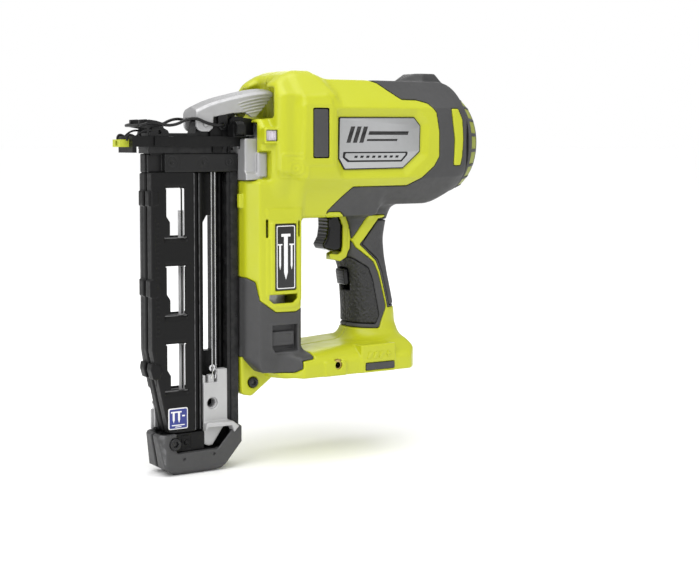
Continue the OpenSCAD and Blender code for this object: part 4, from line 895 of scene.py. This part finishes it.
# blue label on the magazine
lb = fillet([(-108.8, 31.3), (-94.3, 31.3), (-94.3, 45.8), (-108.8, 45.8)], 1.4)
part("label_rim", [prism(lb, -9.32, -8.7, 0.1, "y")], "white", "tool_body")
part("label_face", [prism(fillet([(-108.1, 32.0), (-95.0, 32.0), (-95.0, 45.1), (-108.1, 45.1)], 1.0), -9.40, -9.0, 0.05, "y")], "blue", "tool_body", ("gauge_label",))
part("label_marks", [nail(-105.0, 35.6, 43.6, 0.75, 2.0, -9.47, -9.36, 2.2), nail(-101.0, 35.6, 43.6, 0.75, 2.0, -9.47, -9.36, 2.2),
                     prism([(-98.6, 39.8), (-96.6, 39.8), (-96.6, 40.8), (-98.6, 40.8)], -9.47, -9.36, 0.02, "y"),
                     prism([(-106.4, 33.8), (-96.8, 33.8), (-96.8, 34.5), (-106.4, 34.5)], -9.47, -9.36, 0.02, "y"),
                     prism([(-103.9, 32.7), (-99.3, 32.7), (-99.3, 33.2), (-103.9, 33.2)], -9.47, -9.36, 0.02, "y")], "white", "tool_body")
part("front_pads", [prism(fillet([(-10.6, 216), (1.1, 216), (1.1, 249.5), (-10.6, 249.5)], 1.6), -38.4, -36.0, 0.7, "y", (), 3)], "grey", "tool_body", ("front_bumper_pads",), 40, True)
part("base_pads", [prism(fillet([(32.7, 63.9), (56.9, 63.9), (56.9, 68.7), (32.7, 68.7)], 0.9), -38.4, -36.4, 0.5, "y", (), 3)], "grey", "tool_body", ("base_bumper_pads",), 40, True)
part("base_marks", [prism(slant(33.6 + i * 5.0, 72.3, 2.8, 4.4, 0.3), -38.45, -37.7, 0.2, "y") for i in range(3)] +
     [prism(fillet([(49.4, 74.0), (50.9, 74.0), (50.9, 72.5), (52.3, 72.5), (52.3, 74.0), (53.8, 74.0), (53.8, 75.4), (52.3, 75.4), (52.3, 76.9), (50.9, 76.9), (50.9, 75.4), (49.4, 75.4)], 0.1), -38.45, -37.7, 0.18, "y")], "lime", "tool_body", (), 40, True)
# lamp lenses: bevelled block with upright flutes
ln_ = [prism(fillet([(-44.2, 227.4), (-35.9, 227.4), (-35.9, 234.6), (-44.2, 234.6)], 0.7), -30.4, -27.8, 0.5, "y", (), 3)]
for i in range(4):
    ln_.append(tube([(-43.1 + i * 1.95, -30.3, 228.1), (-43.1 + i * 1.95, -30.3, 233.9)], 0.55, 10))
part("lamp_lenses", ln_, "lens", "tool_body", ("led_lenses",), 40, True)

# ---------------------------------------------------------------- screws and pins
sc_ = []
for sx, sz, sy in SCREWS:
    sc_.append(prism(ring(sx, sz, 3.15, 36), sy + 0.0, sy + 1.1, 0.35, "y", [star(sx, sz, 1.75)]))
    sc_.append(prism(ring(sx, sz, 2.6, 24), sy - 0.6, sy + 0.35, 0.05, "y"))
part("shell_screws", sc_, "darksteel", "tool_body", ("housing_screws",), 30)
ms_ = []
for s_ in (-1, 1):
    y0, y1 = (-15.0, -11.6) if s_ < 0 else (11.6, 15.0)
    fx_ = FSX if s_ < 0 else -104
    ms_.append(prism(ring(fx_, 22, 4.0, 40), y0, y1, 0.5, "y", [ring(fx_, 22, 2.1, 6)], 3))
    ms_.append(prism(ring(fx_, 22, 3.4, 24), y0 + (1.6 if s_ < 0 else 0), y1 - (0 if s_ < 0 else 1.6), 0.05, "y"))
ms_.append(prism(ring(-44.5, 58.5, 3.65, 36), -12.2, -9.0, 0.5, "y", [ring(-44.5, 58.5, 1.7, 6)]))
ms_.append(lathe([(-10.8, 0), (-10.8, 3.4), (11.9, 3.4), (11.9, 0)], "y", (-44.5, 58.5), 36))
ms_.append(lathe([(28.5, 0), (28.5, 0.8), (48.5, 0.8), (48.5, 0)], "z", (-110, 10.7), 24))
part("foot_screws", ms_, "blackscrew", "tool_body", ("magazine_screws",), 30)
hi_ = []
for s_ in (-1, 1):
    hi_.append(prism(ring(9.5, 69.5, 4.0, 40), -36.8, -30, 0.45, "y", [ring(9.5, 69.5, 2.15, 32)]) if s_ < 0 else mirror(prism(ring(9.5, 69.5, 4.0, 40), -36.8, -30, 0.45, "y", [ring(9.5, 69.5, 2.15, 32)])))
part("hook_bushes", hi_, "brass", "tool_body", ("hook_inserts",), 30)

# ---------------------------------------------------------------- nose details
chk = []
for s_ in (-1, 1):
    y0, y1 = (-10.9, -8.7) if s_ < 0 else (8.7, 10.9)
    chk.append(prism(fillet([(-61.6, 231.4), (-61.6, 241.6), (-59, 244.4), (-44.6, 242.6), (-43.4, 240), (-43.4, 231.4)], 0.8), y0, y1, 0.4, "y"))
    ya, yb = (-10.98, -10.6) if s_ < 0 else (10.6, 10.98)
    chk.append(prism(ring(-56.4, 240.4, 2.2, 24), ya, yb, 0.12, "y", [ring(-56.4, 240.4, 1.0, 6)]))
part("latch_cheeks", chk, "black", "tool_body")
ear = []
for s_ in (-1, 1):
    y0, y1 = (-10.6, -8.6) if s_ < 0 else (8.6, 10.6)
    ear.append(prism(fillet([(-121.4, 229.8), (-121.4, 233), (-119.4, 236.6), (-112.8, 236.8), (-108.2, 234.4), (-106.4, 230.6), (-106.4, 229.8)], 0.8), y0, y1, 0.4, "y", [ring(-114.4, 233.2, 1.3, 20)]))
part("nose_brackets", ear, "steelblack", "contact")
pl_ = []
for x0, x1, z0, z1 in ((-119.0, -104.6, 223.8, 230.4), (-74, -66.5, 219.4, 226.2), (-62.5, -60.4, 219.2, 228)):
    pl_.append(prism(fillet([(x0, z0), (x1, z0), (x1, z1), (x0, z1)], 0.6), -13.0 if x0 < -100 else -9.2, -11.0 if x0 < -100 else -7.6, 0.4, "y"))
part("contact_block", pl_[:1], "black", "contact")
part("guide_ribs", pl_[1:], "black", "tool_body")
hk = []
hk.append(tube(arc((-131, -8, 230), (-137.4, -8, 233.8), (-136.8, -8, 227.4), 10), 0.8, 8))
hk.append(tube(arc((-131, 8, 230), (-137.4, 8, 233.8), (-136.8, 8, 227.4), 10), 0.8, 8))
hk.append(tube([(-131.4, -9.6, 229.8), (-131.4, 9.6, 229.8)], 0.9, 8))
for s_ in (-1, 1):
    hk.append(tube(arc((-131, s_ * 9.4, 230.2), (-126, s_ * 9.6, 235.6), (-119.4, s_ * 9.8, 234.0), 10), 0.7, 8))
part("contact_hooks", hk, "steelblack", "contact")

web = []
for s_ in (-1, 1):
    y0, y1 = (-7.9, -6.3) if s_ < 0 else (6.3, 7.9)
    web.append(prism(fillet([(-75.4, 229.2), (-75.4, 243.4), (-72, 247.4), (-60, 248.6), (-56, 246), (-56, 229.2)], 0.8), y0, y1, 0.35, "y"))
part("latch_webs", web, "black", "tool_body")
part("guide_seat", [prism([(-118.6, -6.4), (-61, -6.4), (-61, 6.4), (-118.6, 6.4)], 217.9, 219.6, 0.2, "z")], "black", "tool_body")
part("strip_gate", [prism(fillet([(-112.8, 29.4), (-106.4, 29.4), (-106.4, 43.2), (-112.0, 43.2), (-112.8, 42.4)], 0.8), 9.8, 11.5, 0.4, "y"),
                    lathe([(30.8, 0.86), (30.8, 1.3), (45.9, 1.3), (45.9, 0.86)], "z", (-110, 10.7), 28)], "cast", "strip_latch", ("strip_latch",))

# thin lighter beads along the near cover, painted highlight lines at the groove edges; trigger guard on the handle
part("cover_beads", [prism([(-88.75, -9.3), (-88.25, -9.3), (-88.25, -8.8), (-88.75, -8.8)], 29.4, 205.6, 0.12, "z"),
                     prism([(-84.3, -7.75), (-83.9, -7.75), (-83.9, -7.3), (-84.3, -7.3)], 29.4, 205.6, 0.1, "z")], "foot", "tool_body")
gd = []
gn = fillet([(19.4, 142.4), (28.0, 140.2), (33.4, 143.0), (35.4, 148.6), (35.6, 166), (32.4, 173.6), (27.4, 173.6), (30.6, 166), (30.4, 151.0), (29.4, 147.0), (26.4, 145.2), (19.4, 146.0)], 1.0)
gf = fillet([(28.6, 140.6), (30.4, 140.6), (34.4, 143.6), (36.0, 149), (36.0, 166), (33.2, 173.6), (29.0, 173.6), (33.6, 166), (33.4, 150.4), (31.6, 146.2), (28.6, 144.8)], 1.0)
gd.append(prism(gn, -10.4, -8.5, 0.6, "y", (), 3))
gd.append(prism(gf, 8.5, 10.4, 0.6, "y", (), 3))
gd.append(prism(fillet([(27.6, 140.4), (30.4, 140.6), (34.4, 143.6), (35.2, 146.2), (33.4, 146.6), (31.2, 144.2), (27.6, 143.2)], 0.6), -8.6, 8.6, 0.3, "y"))
part("trigger_guard", gd, "lime", "tool_body", ("trigger_surround",))

part("shutter_plates", [prism([(44.4, -8.4), (45.6, -8.4), (45.6, 8.4), (44.4, 8.4)], 117.6, 143.0, 0.2, "z"),
                        prism([(40.4, -10.4), (41.8, -10.4), (41.8, -3.6), (40.4, -3.6)], 143.4, 178.0, 0.2, "z"),
                        prism([(40.4, 3.6), (41.8, 3.6), (41.8, 10.4), (40.4, 10.4)], 143.4, 178.0, 0.2, "z"),
                        prism([(40.4, -3.6), (41.8, -3.6), (41.8, 3.6), (40.4, 3.6)], 143.4, 154.0, 0.2, "z")], "black", "tool_body")
# bent wire bail
bw_ = []
for s_ in (-1, 1):
    y_ = 12.1 * s_
    p_ = [(-129.4, 0, 237.6), (-129.4, 9.8 * s_, 237.6)]
    p_ += arc((-129.4, 9.8 * s_, 237.6), (-129.4, y_, 237.6), (-126.8, y_, 238.2), 5)[1:]
    p_ += arc((-126.8, y_, 238.2), (-120.5, y_, 240.2), (-115.6, y_, 239.0), 5)[1:]
    p_ += arc((-115.6, y_, 239.0), (-108, y_, 236.4), (-100.4, y_, 239.4), 6)[1:]
    p_ += arc((-100.4, y_, 239.4), (-92.6, y_, 243.8), (-85.6, y_, 241.8), 6)[1:]
    p_ += arc((-85.6, y_, 241.8), (-78, y_, 238.2), (-71.0, y_, 238.0), 6)[1:]
    p_ += arc((-71.0, y_, 238.0), (-66.6, y_, 238.0), (-66.6, 9.6 * s_, 238.0), 5)[1:]
    bw_.append(tube(p_, 1.05, 10))
    bw_.append(prism(fillet([(-125.0, 238.6), (-123.8, 241.6), (-118.4, 240.9), (-113.6, 239.6), (-115.2, 238.0), (-120.6, 238.8)], 0.5), 12.9 * s_, 13.5 * s_, 0.2, "y"))
part("bail_wire", bw_, "steelblack", "bail", ("wire_bail",))

# ---------------------------------------------------------------- finish of the CAD nodes that stay
FIN = {
    "badge_plates": ("plate", 0.25), "name_plates": ("blackgloss", 0.4), "led_lenses": ("lens", 0.3),
    "trigger_surround": ("lime", 0.6), "front_bumper_pads": ("grey", 0.5), "base_bumper_pads": ("grey", 0.4),
    "housing_screws": ("darksteel", 0.15), "battery_socket": ("black", 0.4), "battery_terminals": ("brass", 0.1),
    "hook_inserts": ("brass", 0.15), "control_board": ("board", 0.1), "trigger_switch": ("black", 0.3),
    "trigger": ("blackgloss", 0.6), "trigger_pin": ("steel", 0.15), "mode_switch": ("blackgloss", 0.5),
    "nose_casting": ("cast", 0.6), "nose_guide": ("steelblack", 0.3), "nose_door": ("steelblack", 0.3),
    "door_pin": ("steel", 0.15), "latch_lever": ("cast", 0.6), "latch_pin": ("cast", 0.15), "wire_bail": ("steelblack", 0.0),
    "contact_arm": ("black", 0.3), "no_mar_pad": ("limerub", 0.4), "depth_wheel": ("black", 0.4),
    "left_magazine_cover": ("black", 0.5), "right_magazine_cover": ("black", 0.5), "magazine_rail": ("steelblack", 0.3),
    "magazine_top_bar": ("black", 0.5), "pusher": ("pusher", 0.3), "spring_coil": ("steel", 0.1), "spring_tape": ("steel", 0.0),
    "left_foot": ("foot", 0.8), "right_foot": ("foot", 0.8), "magazine_screws": ("darksteel", 0.2), "strip_latch": ("cast", 0.3),
    "gauge_label": ("blue", 0.0), "compression_cylinder": ("cast", 0.2), "compression_piston": ("steel", 0.2),
    "connecting_rod": ("cast", 0.2), "crankshaft": ("steel", 0.2), "crank_bearings": ("steel", 0.2), "gearbox_housing": ("cast", 0.3),
    "motor_can": ("darksteel", 0.2), "motor_rotor": ("copper", 0.1), "drive_cylinder": ("cast", 0.2), "drive_bumper": ("rubber", 0.3),
    "drive_piston": ("steel", 0.2), "air_unit": ("black", 0.3), "rear_end_cap": ("grey", 0.5), "vent_ring": ("lime", 0.2),
}
for o in list(bpy.data.objects):
    if o.type != "MESH":
        continue
    nm = o.name
    if nm not in FIN or nm not in frame["nodes"]:
        continue
    mt, bev = FIN[nm]
    if len(o.material_slots) == 0:
        o.data.materials.append(M[mt])
    for s in o.material_slots:
        s.link = "OBJECT"
        s.material = M[mt]
    if bev > 0:
        bm_ = o.modifiers.new("edge", "BEVEL")
        bm_.width, bm_.segments, bm_.limit_method, bm_.angle_limit = bev * 0.001, 2, "ANGLE", 30 * D2R
        bm_.harden_normals = False

# ---------------------------------------------------------------- studio
def mesh_plain(name, vs, fs, material):
    me = bpy.data.meshes.new(name)
    me.from_pydata(vs, [], fs)
    me.materials.append(material)
    o = bpy.data.objects.new(name, me)
    COL.objects.link(o)
    return o
fm = bpy.data.materials.new("floor"); fm.use_nodes = True
fb = fm.node_tree.nodes["Principled BSDF"]
fb.inputs["Base Color"].default_value = (0.955, 0.955, 0.955, 1)
fb.inputs["Roughness"].default_value = 0.65
fb.inputs["Specular IOR Level"].default_value = 0.2
# flat floor, all one sheet
vs = [(-60, -60, 0), (60, -60, 0), (60, 60, 0), (-60, 60, 0)]
fs = [(0, 1, 2, 3)]
fl = mesh_plain("floor", vs, fs, fm)
for p in fl.data.polygons:
    p.use_smooth = True
w = bpy.data.worlds.new("w"); SC.world = w; w.use_nodes = True
wn, wl = w.node_tree.nodes, w.node_tree.links
wb = wn["Background"]
wb.inputs[0].default_value = (1, 1, 1, 1)
lp = wn.new("ShaderNodeLightPath")
mr = wn.new("ShaderNodeMapRange")
mr.inputs["To Min"].default_value, mr.inputs["To Max"].default_value = 0.55, 1.0
wl.new(lp.outputs["Is Camera Ray"], mr.inputs["Value"])
wl.new(mr.outputs["Result"], wb.inputs[1])
sun = bpy.data.lights.new("sun", "SUN"); sun.energy, sun.angle = 1.9, 1.2
so = bpy.data.objects.new("sun", sun); COL.objects.link(so)
so.rotation_euler = (Vector((0.25, 0.35, -1.0))).to_track_quat("-Z", "Y").to_euler()
def area(name, loc, size, power, tgt=(0, 0, 0.16), col=(1, 1, 1)):
    l = bpy.data.lights.new(name, "AREA")
    l.shape, l.size, l.size_y, l.energy, l.color = "RECTANGLE", size[0], size[1], power, col
    o = bpy.data.objects.new(name, l)
    COL.objects.link(o)
    o.location = loc
    o.rotation_euler = (Vector(tgt) - Vector(loc)).to_track_quat("-Z", "Y").to_euler()
    return o
area("key", (-1.5, -1.0, 1.3), (0.9, 0.9), 9)
area("fill", (0.9, -1.7, 0.9), (1.3, 1.0), 3.0)
area("top", (0.1, 0.1, 1.6), (1.2, 0.9), 5)
area("left", (-1.7, -0.45, 0.30), (0.5, 0.9), 4.5)
area("rim", (0.9, 1.2, 0.9), (0.8, 0.8), 3)
SC.view_settings.view_transform = "Standard"
SC.view_settings.exposure = 0.0
